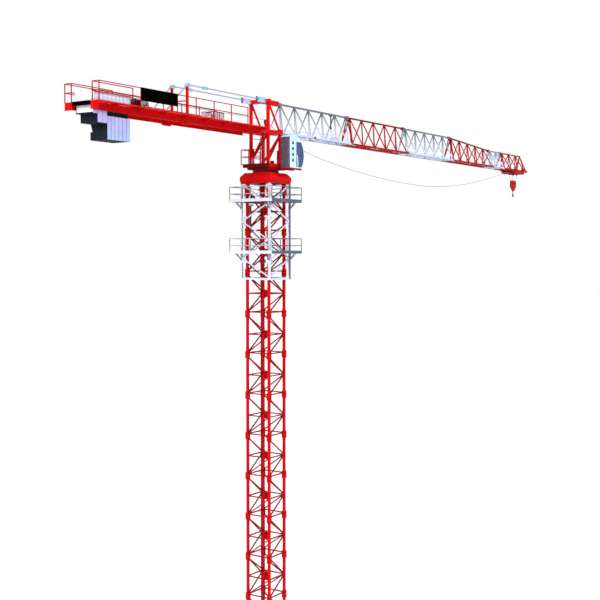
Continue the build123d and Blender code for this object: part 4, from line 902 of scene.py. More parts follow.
def pane_outline():
    """Outline of the cab's near side window, read from the pane's edge."""
    points = {tuple(round(c, 4) for c in v.co) for v in frame["nodes"]["cab_glass"].data.vertices}
    plane = min(point[1] for point in points)
    edge = [Vector(point) for point in points if abs(point[1] - plane) < 0.0005]
    if len(edge) < 3:
        raise ValueError("The cab's near window has no outline for a seal to follow")
    centre = sum(edge, Vector()) / len(edge)
    return sorted(edge, key=lambda point: math.atan2(point.z - centre.z, point.x - centre.x))


def cab_front(height):
    """How far the cab's bowed front is from its back wall, at a height above the cab's floor.

    The front is an arc through its sill, its belly and its brow.
    """
    (ax, az), (bx, bz), (cx, cz) = CAB_SILL, CAB_BELLY, CAB_BROW
    twice = 2 * (ax * (bz - cz) + bx * (cz - az) + cx * (az - bz))
    a, b, c = ax * ax + az * az, bx * bx + bz * bz, cx * cx + cz * cz
    mid_x = (a * (bz - cz) + b * (cz - az) + c * (az - bz)) / twice
    mid_z = (a * (cx - bx) + b * (ax - cx) + c * (bx - ax)) / twice
    return mid_x + math.sqrt((ax - mid_x) ** 2 + (az - mid_z) ** 2 - (height - mid_z) ** 2)


def seat_cushion(mesh):
    """Crowned cushion of the operator's seat."""
    add_cushion(mesh, SEAT + UP * 0.25, (0.25, 0.24, 0.075))


def seat_back(mesh):
    """Back rest and head rest of the seat."""
    add_cushion(mesh, SEAT + Vector((-0.13, 0, 0.45)), (0.07, 0.23, 0.34))
    add_cushion(mesh, SEAT + Vector((-0.13, 0, 0.67)), (0.055, 0.14, 0.09))


def cab_controls(mesh):
    """Seat post and frame, a console with a lever on each side, a foot rest and a screen."""
    x, floor = SEAT.x, CAB_DECK
    add_rod(mesh, SEAT, SEAT + UP * 0.2, 0.04, 16)
    add_rod(mesh, SEAT, SEAT + UP * 0.03, 0.09, 20)
    add_block(mesh, (x - 0.12, x + 0.1), span(CAB_MIDDLE, 0.1), (floor + 0.195, floor + 0.215))
    for y in span(CAB_MIDDLE, 0.135):
        add_block(mesh, (x - 0.1, x + 0.12), span(y, 0.018), (floor + 0.2, floor + 0.34))
        add_block(mesh, (x + 0.02, x + 0.14), span(y, 0.025), (floor + 0.34, floor + 0.37), 1)
        lever = Vector((x + 0.09, y, floor + 0.37))
        add_rod(mesh, lever, lever + Vector((0.01, 0, 0.06)), 0.006, 8, 1)
        add_cushion(mesh, lever + Vector((0.012, 0, 0.07)), (0.026, 0.026, 0.034), 1, 6, 10, 0.9)
    add_bar(mesh, (x - 0.15, CAB_MIDDLE, floor + 0.23), (x - 0.175, CAB_MIDDLE, floor + 0.62), 0.12, 0.012,
            (1, 0, 0))
    add_block(mesh, (CAB_BACK + 0.6, CAB_BACK + 0.68), span(CAB_MIDDLE, 0.1), (floor, floor + 0.03), 1)
    screen = Vector((CAB_BACK + 0.62, CAB_MIDDLE + 0.1, floor + 0.42))
    add_rod(mesh, (screen.x, screen.y, floor), screen, 0.008, 10)
    add_block(mesh, span(screen.x, 0.012), span(screen.y, 0.06), (screen.z, screen.z + 0.09), 1)


def cab_seals(mesh):
    """Rubber round the panes, the bars across the windows, and the wiper."""
    seal = 0.007
    for y in (CAB_NEAR - 0.001, CAB_FAR + 0.001):
        add_tube(mesh, [Vector((point.x, y, point.z)) for point in pane_outline()], seal, 6, closed=True)
    heights = [0.12 + 0.75 * k / 24 for k in range(25)]
    near_edge = [Vector((CAB_BACK + cab_front(rise) + 0.001, CAB_NEAR + 0.04, CAB_FLOOR + rise))
                 for rise in heights]
    far_edge = [Vector((point.x, CAB_FAR - 0.04, point.z)) for point in reversed(near_edge)]
    add_tube(mesh, near_edge + far_edge, seal, 6, closed=True)
    rise = 0.457
    bar_x, bar_z = CAB_BACK + cab_front(rise), CAB_FLOOR + rise
    add_bar(mesh, (bar_x, CAB_NEAR + 0.03, bar_z), (bar_x, CAB_FAR - 0.03, bar_z), 0.016, 0.03)
    add_bar(mesh, (CAB_BACK + 0.62, CAB_NEAR - 0.002, bar_z), (bar_x - 0.03, CAB_NEAR - 0.002, bar_z - 0.012),
            0.008, 0.016)
    wiper = [Vector((CAB_BACK + cab_front(up) + 0.012, CAB_MIDDLE + 0.02 + 0.1 * up, CAB_FLOOR + up))
             for up in (0.1, 0.2, 0.3, 0.4)]
    add_tube(mesh, wiper, 0.006, 8)
    add_tube(mesh, [point + Vector((0, 0.015, 0.02)) for point in wiper[1:]], 0.009, 6)


def cab_louvres(mesh, count):
    """Sloped blades and a back plate in each vent of the near side."""
    x = CAB_BACK + 0.195
    for k in range(count):
        z = CAB_FLOOR + 0.255 + k * 0.195
        for row in range(5):
            level = z - 0.04 + row * 0.02
            add_bar(mesh, (x - 0.051, CAB_NEAR + 0.012, level), (x + 0.051, CAB_NEAR + 0.012, level),
                    0.018, 0.004, (0, -0.6, 0.8))
        add_block(mesh, span(x, 0.052), (CAB_NEAR + 0.02, CAB_NEAR + 0.023), span(z, 0.048))


def cab_rails(mesh):
    """Curved hand rail on the near side, bright white as a painted reflection bowed across the window, and
    two grab rails on the roof.
    """
    x = CAB_BACK + 0.425
    bow = [(x + 0.03 * math.sin(math.pi / 2 * k / 8), CAB_NEAR - 0.022, CAB_FLOOR + 0.43 - 0.047 * k)
           for k in range(1, 8)]
    top, foot = (x, CAB_NEAR - 0.004, CAB_FLOOR + 0.44), (x + 0.03, CAB_NEAR - 0.004, CAB_FLOOR + 0.06)
    add_tube(mesh, [top, *bow, foot], 0.014, 10)
    for y in (CAB_NEAR + 0.03, CAB_FAR - 0.03):
        bends = ((0.1, 1.05), (0.1, 1.09), (0.34, 1.13), (0.34, 1.1))
        add_tube(mesh, [(CAB_BACK + ahead, y, CAB_FLOOR + rise) for ahead, rise in bends], 0.007, 8)


def cab_door(mesh):
    """Closed door in the back wall with hinges and a handle, and the bolts under the floor."""
    face, floor = CAB_BACK - 0.008, CAB_DECK
    add_block(mesh, (face, CAB_BACK), span(CAB_MIDDLE, 0.13), (floor + 0.03, floor + 0.93))
    for z in (floor + 0.2, floor + 0.75):
        hinge = Vector((face - 0.006, CAB_MIDDLE + 0.135, z))
        add_rod(mesh, hinge - UP * 0.03, hinge + UP * 0.03, 0.009, 12)
    handle = Vector((face - 0.012, CAB_MIDDLE - 0.09, floor + 0.5))
    add_bar(mesh, handle - UP * 0.05, handle + UP * 0.05, 0.012)
    for x, y in product((0.1, 0.3, 0.5, 0.66), (CAB_NEAR + 0.03, CAB_FAR - 0.03)):
        add_bolt(mesh, (CAB_BACK + x, y, CAB_FLOOR), -UP, 0.007)


# Counter-jib

def tie_post():
    """Place of the tie posts along the crane and off its axis, and the height of their tops."""
    return middle("tie_posts").x, high("tie_posts").y - 0.034, high("tie_posts").z


def rear_channel(mesh):
    """Channel across the counter-jib's rear end, the kerb beside it and the last slab's dark edge."""
    rear, last = low("counter_jib_frame").x, low("ballast_short").x
    across = span(0, GIRDER_AT - 0.014)
    add_block(mesh, (rear - 0.004, rear + 0.006), across, (TOWER_TOP - 0.1, TOWER_TOP + 0.018))
    for z in (TOWER_TOP - 0.1, TOWER_TOP + 0.01):
        add_block(mesh, (rear - 0.03, rear - 0.002), across, (z, z + 0.008))
    kerb = (-GIRDER_AT - 0.012, -GIRDER_AT + 0.002)
    add_block(mesh, (rear, rear + 0.9), kerb, (DECK + 0.001, DECK + 0.022))
    add_block(mesh, (last - 0.006, last), (SLAB_HALF - 0.02, SLAB_HALF), (SHORT_LOW + 0.02, TOWER_TOP - 0.1))


def girder_joints(mesh):
    """Splice plates with their bolts on both girders, and the lower plates of the middle joint."""
    front = high("counter_jib_frame").x
    for k, side in product(range(7), (-1, 1)):
        x, y = front - 1.0 - k, side * GIRDER_AT
        for shift, rise in product((-0.05, 0.05), (0.05, 0.105, 0.16)):
            add_bolt(mesh, (x + shift, y, GIRDER_LOW + rise), (0, side, 0), 0.008)
        add_block(mesh, span(x, 0.085), (y, y + side * 0.006), (GIRDER_LOW + 0.02, GIRDER_LOW + 0.19))
    joint = -4.75
    for side in (-1, 1):
        y = side * GIRDER_AT
        outer = y + side * 0.012
        add_block(mesh, span(joint, 0.2), (y - side * 0.02, outer), (GIRDER_LOW - 0.045, GIRDER_LOW + 0.03))
        for shift in (-0.13, -0.045, 0.045, 0.13):
            add_bolt(mesh, (joint + shift, outer, GIRDER_LOW - 0.012), (0, side, 0), 0.014)


def tie_knuckles(mesh):
    """Knuckles on the tie posts' heads, and the shoes of the posts and of the ties."""
    x, post_y, top = tie_post()
    foot = low("tie_bars").x + 0.04
    for y in span(0, post_y):
        add_block(mesh, (x - 0.07, x + 0.11), span(y, 0.042), (top - 0.05, top + 0.055))
        add_pin(mesh, (x, y, top + 0.02), 0.055, 0.018, slot=1)
        add_block(mesh, span(x, 0.055), span(y, 0.055), (DECK, DECK + 0.02), 1)
        add_block(mesh, (foot - 0.03, foot + 0.07), span(y, 0.03), (DECK, DECK + 0.055), 1)


def tie_plate_pins(mesh):
    """Link plates and pins along the ties and at the tower head."""
    x, post_y, top = tie_post()
    root, link, z = high("tie_bars").x, x + 0.86, top + 0.017
    for y in span(0, post_y):
        for pin_x in (root - 0.45, root - 0.07):
            add_pin(mesh, (pin_x, y, z), 0.03, 0.02, slot=1)
        add_block(mesh, (root - 0.49, root - 0.03), span(y, 0.02), (z - 0.1, z + 0.08), 0 if y > 0 else 2)
        add_block(mesh, (root - 0.54, root - 0.49), span(y, 0.019), (z - 0.11, z + 0.08), 1)
        add_block(mesh, span(link, 0.12), span(y, 0.026), span(z, 0.045), 2)
        for pin_x in span(link, 0.07):
            add_pin(mesh, (pin_x, y, z), 0.034, 0.015, 14, 1)


def switch_cabinets(mesh):
    """Three switch cabinets on the deck, each with a plinth, a lid, corner posts and a handle."""
    half = 0.1
    for x, y, size, tall in ((-2.95, -0.12, 0.2, 0.3), (-3.27, -0.12, 0.26, 0.24), (-2.2, 0.2, 0.24, 0.36)):
        top, near = DECK + tall, y - half
        add_block(mesh, (x - size, x), span(y, half), (DECK + 0.03, top))
        add_block(mesh, (x - size - 0.006, x + 0.006), span(y, half + 0.006), (top, top + 0.014), 1)
        add_block(mesh, (x - size, x), span(y, half), (DECK, DECK + 0.03), 1)
        for edge in (x - size, x):
            add_bar(mesh, (edge, near, DECK + 0.02), (edge, near, top), 0.016, slot=1)
        handle = (x - size * 0.6, x - size * 0.52)
        add_block(mesh, handle, (near - 0.008, near), (DECK + 0.14, DECK + 0.19), 1)


def drum_rope(mesh, turns):
    """Hoist rope wound side by side on the winch drum."""
    axis = middle("winch_drum")
    wire, half, steps = 0.007, 0.13, 20
    reach, count = 0.105 + wire, turns * steps
    add_tube(mesh, [(axis.x + reach * math.cos(2 * math.pi * k / steps), axis.y - half + 2 * half * k / count,
                     axis.z + reach * math.sin(2 * math.pi * k / steps)) for k in range(count + 1)], wire, 6)


def winch_hand_wheel(mesh):
    """Six-spoked hand wheel on the winch's near end."""
    axis, near = middle("winch_drum"), low("hoist_winch").y
    centre = Vector((axis.x + 0.06, near - 0.012, axis.z - 0.02))
    rim = 0.14
    for radius, count, round_by in ((rim, 36, 0.015), (rim / 2, 24, 0.008)):
        add_tube(mesh, circle(centre, radius, (1, 0, 0), UP, count), round_by, 8, closed=True)
    for out in spokes(6, UP):
        add_rod(mesh, centre, centre + out * rim, 0.008, 8)
    add_rod(mesh, (centre.x, near - 0.03, centre.z), (centre.x, near + 0.115, centre.z), 0.022, 14)


def winch_motor_parts(mesh):
    """Ribs and cover of the hoist motor, the winch frame's bolts and its two gear boxes."""
    axis, frame_low, frame_high = middle("winch_drum"), low("hoist_winch"), high("hoist_winch")
    far = frame_high.y
    for out in spokes(18, UP):
        foot = Vector((axis.x, far - 0.085, axis.z)) + out * 0.093
        add_bar(mesh, foot, foot + Vector((0, 0.075, 0)), 0.006, 0.016, out)
    add_rod(mesh, (axis.x, far - 0.006, axis.z), (axis.x, far + 0.02, axis.z), 0.1, 28, top=0.085)
    for x, y in product((frame_low.x + 0.02, frame_high.x - 0.02), (-0.235, -0.08, 0.08, 0.235)):
        add_bolt(mesh, (x, y, DECK + 0.05), UP, 0.011)
    add_block(mesh, (axis.x - 0.24, axis.x - 0.14), (-0.25, -0.19), (DECK + 0.05, DECK + 0.25))
    add_block(mesh, (axis.x + 0.13, axis.x + 0.25), (-0.26, -0.18), (DECK + 0.05, DECK + 0.3))


def slab_loops(mesh):
    """Two lifting loops on the top of each slab."""
    tall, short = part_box("ballast_tall"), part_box("ballast_short")
    rows = [(tall[1].x - TALL_PITCH * (k + 0.5), tall[1].z) for k in range(6)]
    rows += [(short[1].x - SHORT_PITCH * (k + 0.5), short[1].z) for k in range(2)]
    rows.append((short[0].x + 0.086, short[1].z))
    half = 0.03
    for (x, z), y in product(rows, (-0.2, 0.2)):
        top = z + 0.02
        arc = circle((x, y, top), half, (0, -1, 0), UP, 6, 0.08, 0.5)
        add_tube(mesh, [(x, y - half, z - 0.01), (x, y - half, top), *arc, (x, y + half, top),
                        (x, y + half, z - 0.01)], 0.006, 6)


# Jib

def jib_joint_pins(mesh):
    """Pins of the upper joints and sleeves with bolts on the lower chords, at each joint of the jib."""
    lug = 0.052
    joints = [(low(f"jib_section_{k}").x, high(f"jib_section_{highest}").z - lug)
              for k, highest in ((2, 2), (3, 2), (4, 3), (5, 5), (6, 6))]
    for x, z in joints:
        for side in (-1, 1):
            for shift in (-0.045, 0.045):
                add_bolt(mesh, (x + shift, side * lug, z), (0, side, 0), 0.02)
            add_bolt(mesh, (x, side * lug, z + 0.03), (0, side, 0), 0.012)
        for y in span(0, CHORD_AT):
            add_block(mesh, span(x, 0.09), span(y, 0.041), (CHORDS - 0.037, CHORDS + 0.041))
            for shift in (-0.05, 0.05):
                add_bolt(mesh, (x + shift, y - 0.041, CHORDS), (0, -1, 0), 0.016)
                add_bolt(mesh, (x + shift, y, CHORDS + 0.041), UP, 0.016)


WINCH_AXLE = CHORDS + 0.11
INNER_AT = CHORD_AT - CHORD / 2


def trolley_winch(mesh, start, end):
    """Frame, drum and motor of the trolley's winch, between the jib's lower chords."""
    if end <= start:
        raise ValueError("The trolley winch has to end ahead of its start")
    centre, top = (start + end) / 2, CHORDS + 0.24
    for x in (start, centre, end):
        for y in (-0.13, 0.13):
            add_bar(mesh, (x, y, CHORDS), (x, y, top), 0.018)
        add_bar(mesh, (x, -INNER_AT, CHORDS), (x, INNER_AT, CHORDS), 0.024)
    for y in (-0.13, 0.13):
        add_bar(mesh, (start, y, top), (end, y, top), 0.014)
    drum = centre + 0.1
    add_pin(mesh, (drum, 0, WINCH_AXLE), 0.11, 0.05, 24)
    for y in (-0.11, 0.11):
        add_pin(mesh, (drum, y, WINCH_AXLE), 0.005, 0.08, 24)
    add_rod(mesh, (centre - 0.2, 0, WINCH_AXLE), (centre - 0.02, 0, WINCH_AXLE), 0.05, 20)
    add_block(mesh, (centre - 0.23, centre - 0.2), span(0, 0.06), span(WINCH_AXLE, 0.06))


def rope_guide(mesh, x):
    """Hanger under the jib's top chord with the sheave that guides the hoist rope."""
    top = JIB_TOP - 0.1
    wheel = top - 0.46
    add_bar(mesh, (x, -0.012, top), (x, -0.012, top - 0.5), 0.02, 0.05)
    add_block(mesh, span(x, 0.09), span(0, 0.03), span(top, 0.02))
    add_rod(mesh, (x, -0.022, wheel), (x, 0.012, wheel), 0.055, 24)
    add_rod(mesh, (x, -0.03, wheel), (x, 0.02, wheel), 0.016, 14)


def travel_rope(mesh, start, end):
    """Rope that pulls the trolley, its sheaves at the jib's nose, and the hand line behind the winch."""
    add_tube(mesh, [(start - 3.3 + 0.33 * k, -0.13, CHORDS + 0.1 + 0.014 * k) for k in range(11)], 0.004, 6)
    drum, nose, axle = (start + end) / 2 + 0.1, high("jib_section_6").x - 0.6, CHORDS + 0.065
    for y, z, nose_z in ((0.04, WINCH_AXLE + 0.052, CHORDS + 0.1),
                         (-0.04, WINCH_AXLE - 0.052, CHORDS + 0.03)):
        add_tube(mesh, [(drum, y, z), (nose, y, nose_z)], 0.0035, 6)
    for y in (-0.04, 0.04):
        add_pin(mesh, (nose, y, axle), 0.01, 0.04, 20)
    add_pin(mesh, (nose, 0, axle), INNER_AT, 0.012, 12)
    for y in span(0, INNER_AT):
        add_block(mesh, span(nose, 0.03), span(y, 0.012), (CHORDS, CHORDS + 0.09))


def trolley_stops(mesh):
    """Rubber buffers and their brackets beside the chords, where the trolley's travel ends."""
    reach = TROLLEY_WHEEL_AT + TROLLEY_WHEEL + 0.006
    ledge = CHORDS - CHORD / 2 + 0.01
    outer = CHORD_AT + CHORD / 2
    for x, way in ((TROLLEY + TRAVEL[1] + reach, 1), (TROLLEY + TRAVEL[0] - reach, -1)):
        for side in (-1, 1):
            y = (side * outer, side * (outer + 0.026))
            add_block(mesh, (x, x + way * 0.02), y, (ledge, ledge + 0.07))
            add_block(mesh, (x + way * 0.02, x + way * 0.06), y, (ledge, ledge + 0.08), 1)


# Trolley, hook block and hook

def trolley_bolts(mesh):
    """Axle caps, bolts and a stiffening strip on both cheeks of the trolley."""
    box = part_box("trolley_frame")
    for side, face in ((-1, box[0].y), (1, box[1].y)):
        for x in span(0, TROLLEY_WHEEL_AT):
            add_cap(mesh, (TROLLEY + x, face, CHORDS + 0.016), side, 0.006, 0.026, 20, 0.014)
        for x in (-0.57, -0.35, -0.15, 0.15, 0.35, 0.57):
            add_bolt(mesh, (TROLLEY + x, face, box[0].z + 0.04), (0, side, 0), 0.009)
        add_block(mesh, span(TROLLEY, 0.4), (face, face + side * 0.006), (box[0].z + 0.07, box[0].z + 0.085))


def add_cap(mesh, at, side, thickness, radius, sides, bolt):
    """A round axle cap on a cheek, held by one bolt."""
    outer = Vector(at) + Vector((0, side * thickness, 0))
    add_rod(mesh, at, outer, radius, sides)
    add_bolt(mesh, outer, (0, side, 0), bolt)


def basket_grating(mesh, count):
    """Bars of the grating on the basket's floor."""
    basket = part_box("trolley_basket")
    floor, edge, lengthwise = CHORDS - 0.165 + 0.012, 0.024, 5
    x0, x1, half = basket[0].x + edge, basket[1].x - edge, basket[1].y - edge
    for k in range(count):
        x = x0 + (x1 - x0) * (k + 0.5) / count
        add_bar(mesh, (x, -half, floor + 0.006), (x, half, floor + 0.006), 0.004, 0.012)
    for k in range(lengthwise):
        y = -half + 2 * half * (k + 0.5) / lengthwise
        add_bar(mesh, (x0, y, floor + 0.008), (x1, y, floor + 0.008), 0.004, 0.006)


def block_bolts(mesh):
    """Axle caps, bolts, strips and through bolts of the hook block's cheeks."""
    block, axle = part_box("hook_block"), middle("block_sheaves").z
    through = ((-0.3, -0.12), (0.3, -0.12), (0, -0.05))
    for side, face in ((-1, block[0].y), (1, block[1].y)):
        for x in span(0, BLOCK_SHEAVE_AT):
            add_cap(mesh, (TROLLEY + x, face, axle), side, 0.008, 0.034, 24, 0.016)
        for x, z in (*through, (-0.1, -0.45), (0.1, -0.45)):
            add_bolt(mesh, (TROLLEY + x, face, block[1].z + z), (0, side, 0), 0.01)
        add_block(mesh, span(TROLLEY, 0.22), (face, face + side * 0.007), (axle - 0.135, axle - 0.105))
    for x, z in through:
        near, far = ((TROLLEY + x, corner.y, block[1].z + z) for corner in block)
        add_rod(mesh, near, far, 0.009, 12)


def hook_latch(mesh):
    """Nut and collar of the hook's shank, and the sprung latch across its throat."""
    shank = low("hook_block").z
    add_rod(mesh, (TROLLEY, 0, shank - 0.006), (TROLLEY, 0, shank - 0.03), 0.04, 6)
    add_rod(mesh, (TROLLEY, 0, shank - 0.03), (TROLLEY, 0, shank - 0.045), 0.03, 24)
    throat = Vector((TROLLEY + 0.012, 0, low("hook").z + 0.15))
    add_bar(mesh, throat, throat + Vector((0.062, 0, -0.07)), 0.02, 0.005, (0, 1, 0))
    add_pin(mesh, throat, 0.02, 0.007, 12)


# Ropes

ROUTE = ((1.7, 0.356), (2.4, 0.492), (3.25, 0.64), (4.2, 0.775), (5.3, 0.902), (6.5, 1.018),
         (7.8, 1.122), (9.2, 1.203), (10.6, 1.25), (11.9, 1.262), (13.1, 1.212),
         (14.3, 1.128), (15.5, 1.01), (16.6, 0.868), (17.5, 0.727), (18.3, 0.59),
         (19.1, 0.444), (19.8, 0.314))
ROPE = 0.007


def smooth_line(route):
    """Points along one smooth curve that follows a route from end to end."""
    curve = bpy.data.curves.new("slack_route", "CURVE")
    curve.dimensions = "3D"
    curve.resolution_u = 10
    spline = curve.splines.new("NURBS")
    spline.points.add(len(route) - 1)
    for point, at in zip(spline.points, route):
        point.co = (*at, 1)
    spline.order_u = 3
    spline.use_endpoint_u = True
    holder = bpy.data.objects.new("slack_route", curve)
    line = [vertex.co.copy() for vertex in bpy.data.meshes.new_from_object(holder).vertices]
    bpy.data.objects.remove(holder)
    return line


def tangent(first, last):
    """Ends of the straight rope between two wheels, each given as x, z, radius and side."""
    ax, az, ra, sa = first
    bx, bz, rb, sb = last
    reach = math.hypot(bx - ax, bz - az)
    way = math.atan2(bz - az, bx - ax) - math.asin((sa * ra - sb * rb) / reach)
    nx, nz = -math.sin(way), math.cos(way)
    return [Vector((x + side * radius * nx, 0, z + side * radius * nz))
            for x, z, radius, side in (first, last)]


def rope_ends():
    """Ends of the four straight falls between the trolley's wheels and those of the hook block."""
    foot_z, head_z = middle("block_sheaves").z, CHORDS - 0.125
    ends = []
    for side in (-1, 1):
        foot = (TROLLEY + side * BLOCK_SHEAVE_AT, foot_z, SIDE_SHEAVE)
        ends.append(tangent((TROLLEY + side * SIDE_SHEAVE_AT, head_z, SIDE_SHEAVE, side), (*foot, side)))
        ends.append(tangent((TROLLEY, head_z, MIDDLE_SHEAVE, side), (*foot, -side)))
    return ends


def slack_hoist_rope(mesh, line):
    """The hoist rope that hangs under the jib from the tower to the trolley."""
    add_tube(mesh, line, ROPE, 8)


def hook_rope_falls(mesh, ends):
    """The four falls that carry the hook block."""
    for upper, lower in ends:
        add_rod(mesh, upper, lower, ROPE, 10)


# The crane put together, group by group

class CRANE_OT_paint(bpy.types.Operator):
    """Give every CAD node its material"""
    bl_idname = "crane.paint"
    bl_label = "Paint the crane"

    def execute(self, context):
        settings = context.scene.crane_paint
        GROUPS.update({"paint": paint_wear_and_shading(), "metal": worn_metal(), "concrete": cast_concrete(),
                       "tread": tread_mesh(), "wire": wire_strands()})
        for name, (paint, faded) in PLAIN_PAINTS.items():
            painted(name, paint, faded)
        for finish in (red_paints, cage_paints, upper_paints, slab_concrete):
            finish(settings)
        metals_and_glass()
        for name, obj in frame["nodes"].items():
            chosen = MATERIALS[paint_of(name)]
            if not obj.data.materials:
                obj.data.materials.append(chosen)
            for held in obj.material_slots:
                held.material = chosen
            soft = obj.modifiers.new("Edges", "BEVEL")
            soft.width = settings.bevel
            soft.segments = 1
            soft.limit_method = "ANGLE"
            soft.angle_limit = math.radians(50)
        return {"FINISHED"}


class CRANE_OT_mast(bpy.types.Operator):
    """Add the mast's joint bolts, its rest plates and its ladder"""
    bl_idname = "crane.mast"
    bl_label = "Mast fittings"

    def execute(self, context):
        sizes = context.scene.crane_fittings
        piece(mast_bolts, "mast", ["bolt_red"], "mast_paint", sizes.bolt)
        piece(mast_rest_plates, "mast", ["rest_red"], "mast_paint", sizes.bolt)
        piece(mast_ladder, "mast", ["bolt_red"], "mast_paint", sizes.ladder, sizes.rung)
        return {"FINISHED"}


class CRANE_OT_cage(bpy.types.Operator):
    """Add the climbing cage's rollers, ram and platform edges"""
    bl_idname = "crane.cage"
    bl_label = "Climbing cage fittings"

    def execute(self, context):
        sizes = context.scene.crane_fittings
        piece(cage_rollers, "mast", ["cast", "cage_white"], "mast_paint", sizes.roller)
        piece(climbing_ram, "mast", ["motor_grey", "zinc", "cage_white"], "cage_paint")
        piece(cage_toe_boards, "mast", ["platform_slate"], "cage_paint")
        return {"FINISHED"}


class CRANE_OT_slewing(bpy.types.Operator):
    """Add the slewing gear's teeth, motors and the ladder of the tower"""
    bl_idname = "crane.slewing"
    bl_label = "Slewing gear and tower fittings"

    def execute(self, context):
        sizes = context.scene.crane_fittings
        piece(slewing_teeth, "mast", ["cast"], "ring_steel", sizes.teeth)
        piece(slewing_motors, "slewing_crane", ["ladder_pink", "red", "dark_red", "dark_red"], "mast_paint")
        piece(tower_ladder, "slewing_crane", ["ladder_pink"], "mast_paint", sizes.ladder, sizes.rung)
        piece(head_pins, "slewing_crane", ["dark_red"], "mast_paint")
        return {"FINISHED"}


class CRANE_OT_cab(bpy.types.Operator):
    """Add the cab's seat, consoles, seals, louvres, wiper and rails"""
    bl_idname = "crane.cab"
    bl_label = "Cab fittings"

    def execute(self, context):
        sizes = context.scene.crane_fittings
        for model in (seat_cushion, seat_back):
            piece(model, "slewing_crane", ["seat"], "cab_paint")
        piece(cab_controls, "slewing_crane", ["motor_grey", "rubber"], "cab_paint")
        piece(cab_seals, "slewing_crane", ["rubber"], "cab_paint")
        piece(cab_louvres, "slewing_crane", ["board"], "cab_paint", sizes.vents)
        piece(cab_rails, "slewing_crane", ["bright_white"], "cab_paint")
        piece(cab_door, "slewing_crane", ["cab_white"], "cab_paint")
        return {"FINISHED"}


class CRANE_OT_counter_jib(bpy.types.Operator):
    """Add the rear channel, tie knuckles, cabinets, winch parts and slab loops of the counter-jib"""
    bl_idname = "crane.counter_jib"
    bl_label = "Counter-jib fittings"

    def execute(self, context):
        sizes = context.scene.crane_fittings
        piece(rear_channel, "slewing_crane", ["board"], "board")
        piece(girder_joints, "slewing_crane", ["red"], "mast_paint")
        piece(tie_knuckles, "slewing_crane", ["plate_blue", "dark_red"], "galvanised")
        piece(tie_plate_pins, "slewing_crane", ["knuckle_violet", "fitting_blue", "plate_blue"], "galvanised")
        piece(switch_cabinets, "slewing_crane", ["cabinet", "dark_red"], "winch_paint")
        piece(drum_rope, "slewing_crane", ["rope"], "rope", sizes.drum_turns)
        piece(winch_hand_wheel, "slewing_crane", ["bright_white"], "winch_paint")
        piece(winch_motor_parts, "slewing_crane", ["dark_red"], "winch_paint")
        piece(slab_loops, "slewing_crane", ["steel"], "galvanised")
        return {"FINISHED"}


class CRANE_OT_jib(bpy.types.Operator):
    """Add the jib's joint pins, its trolley winch, its travel rope and its end stops"""
    bl_idname = "crane.jib"
    bl_label = "Jib fittings"

    def execute(self, context):
        sizes = context.scene.crane_fittings
        start, end = sizes.winch_from, sizes.winch_to
        piece(jib_joint_pins, "slewing_crane", ["motor_grey"], "galvanised")
        piece(trolley_winch, "slewing_crane", ["cage_white"], "jib_white", start, end)
        piece(rope_guide, "slewing_crane", ["fitting_blue"], "galvanised", start + 0.02)
        piece(travel_rope, "slewing_crane", ["rope"], "rope", start, end)
        piece(trolley_stops, "slewing_crane", ["rubber", "fitting_blue"], "mast_paint")
        return {"FINISHED"}


class CRANE_OT_trolley(bpy.types.Operator):
    """Add the trolley's bolts and grating, and the hook block's caps, nut and latch"""
    bl_idname = "crane.trolley"
    bl_label = "Trolley and hook fittings"

    def execute(self, context):
        sizes = context.scene.crane_fittings
        piece(trolley_bolts, "trolley", ["bolt_red"], "mast_paint")
        piece(basket_grating, "trolley", ["zinc"], "galvanised", sizes.grid)
        piece(block_bolts, "hook_block", ["bolt_red"], "mast_paint")
        piece(hook_latch, "hook", ["steel"], "galvanised")
        return {"FINISHED"}


class CRANE_OT_ropes(bpy.types.Operator):
    """Add the slack hoist rope and the hook's rope falls"""
    bl_idname = "crane.ropes"
    bl_label = "Ropes"

    def execute(self, context):
        start = (low("slack_rope").x, 0, CHORDS - 0.192)
        end = (high("slack_rope").x, 0, CHORDS - 0.21)
        line = smooth_line([start, *((x, 0, CHORDS - drop) for x, drop in ROUTE), end])
        rope = piece(slack_hoist_rope, "slewing_crane", ["rope"], "rope", line, replaces=["slack_rope"])
        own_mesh(rope)
        ends = rope_ends()
        falls = piece(hook_rope_falls, None, ["rope"], "rope", ends, replaces=["rope_falls"])
        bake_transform(falls)
        return {"FINISHED"}


def pale_floor(glow):
    """Material of the floor, which shows the camera a light of its own."""
    pale = bpy.data.materials.new("floor_pale")
    pale.use_nodes = True
    tree = pale.node_tree
    shader = tree.nodes["Principled BSDF"].inputs
    shader["Base Color"].default_value = (0.93, 0.93, 0.93, 1)
    shader["Roughness"].default_value = 0.9
    shader["Emission Color"].default_value = (1, 1, 1, 1)
    tree.links.new(math_node(tree, "MULTIPLY", direct_rays(tree), glow), shader["Emission Strength"])
    return pale


def studio_world(strength):
    """Soft light from all around, seen as plain white."""
    world = bpy.data.worlds.new("studio")
    world.use_nodes = True
    tree = world.node_tree
    tree.nodes.clear()
    seen = add(tree, "ShaderNodeBackground", {"Color": (1, 1, 1, 1), "Strength": 1.0})
    lit = add(tree, "ShaderNodeBackground", {"Color": (0.86, 0.92, 1.0, 1), "Strength": strength})
    parts = {0: direct_rays(tree), 1: lit.outputs[0], 2: seen.outputs[0]}
    mix = add(tree, "ShaderNodeMixShader", links=parts)
    add(tree, "ShaderNodeOutputWorld", links={"Surface": mix.outputs[0]})
    return world


def towards(way):
    """Turn that points a lamp or a camera along a direction."""
    return way.to_track_quat("-Z", "Y").to_euler()


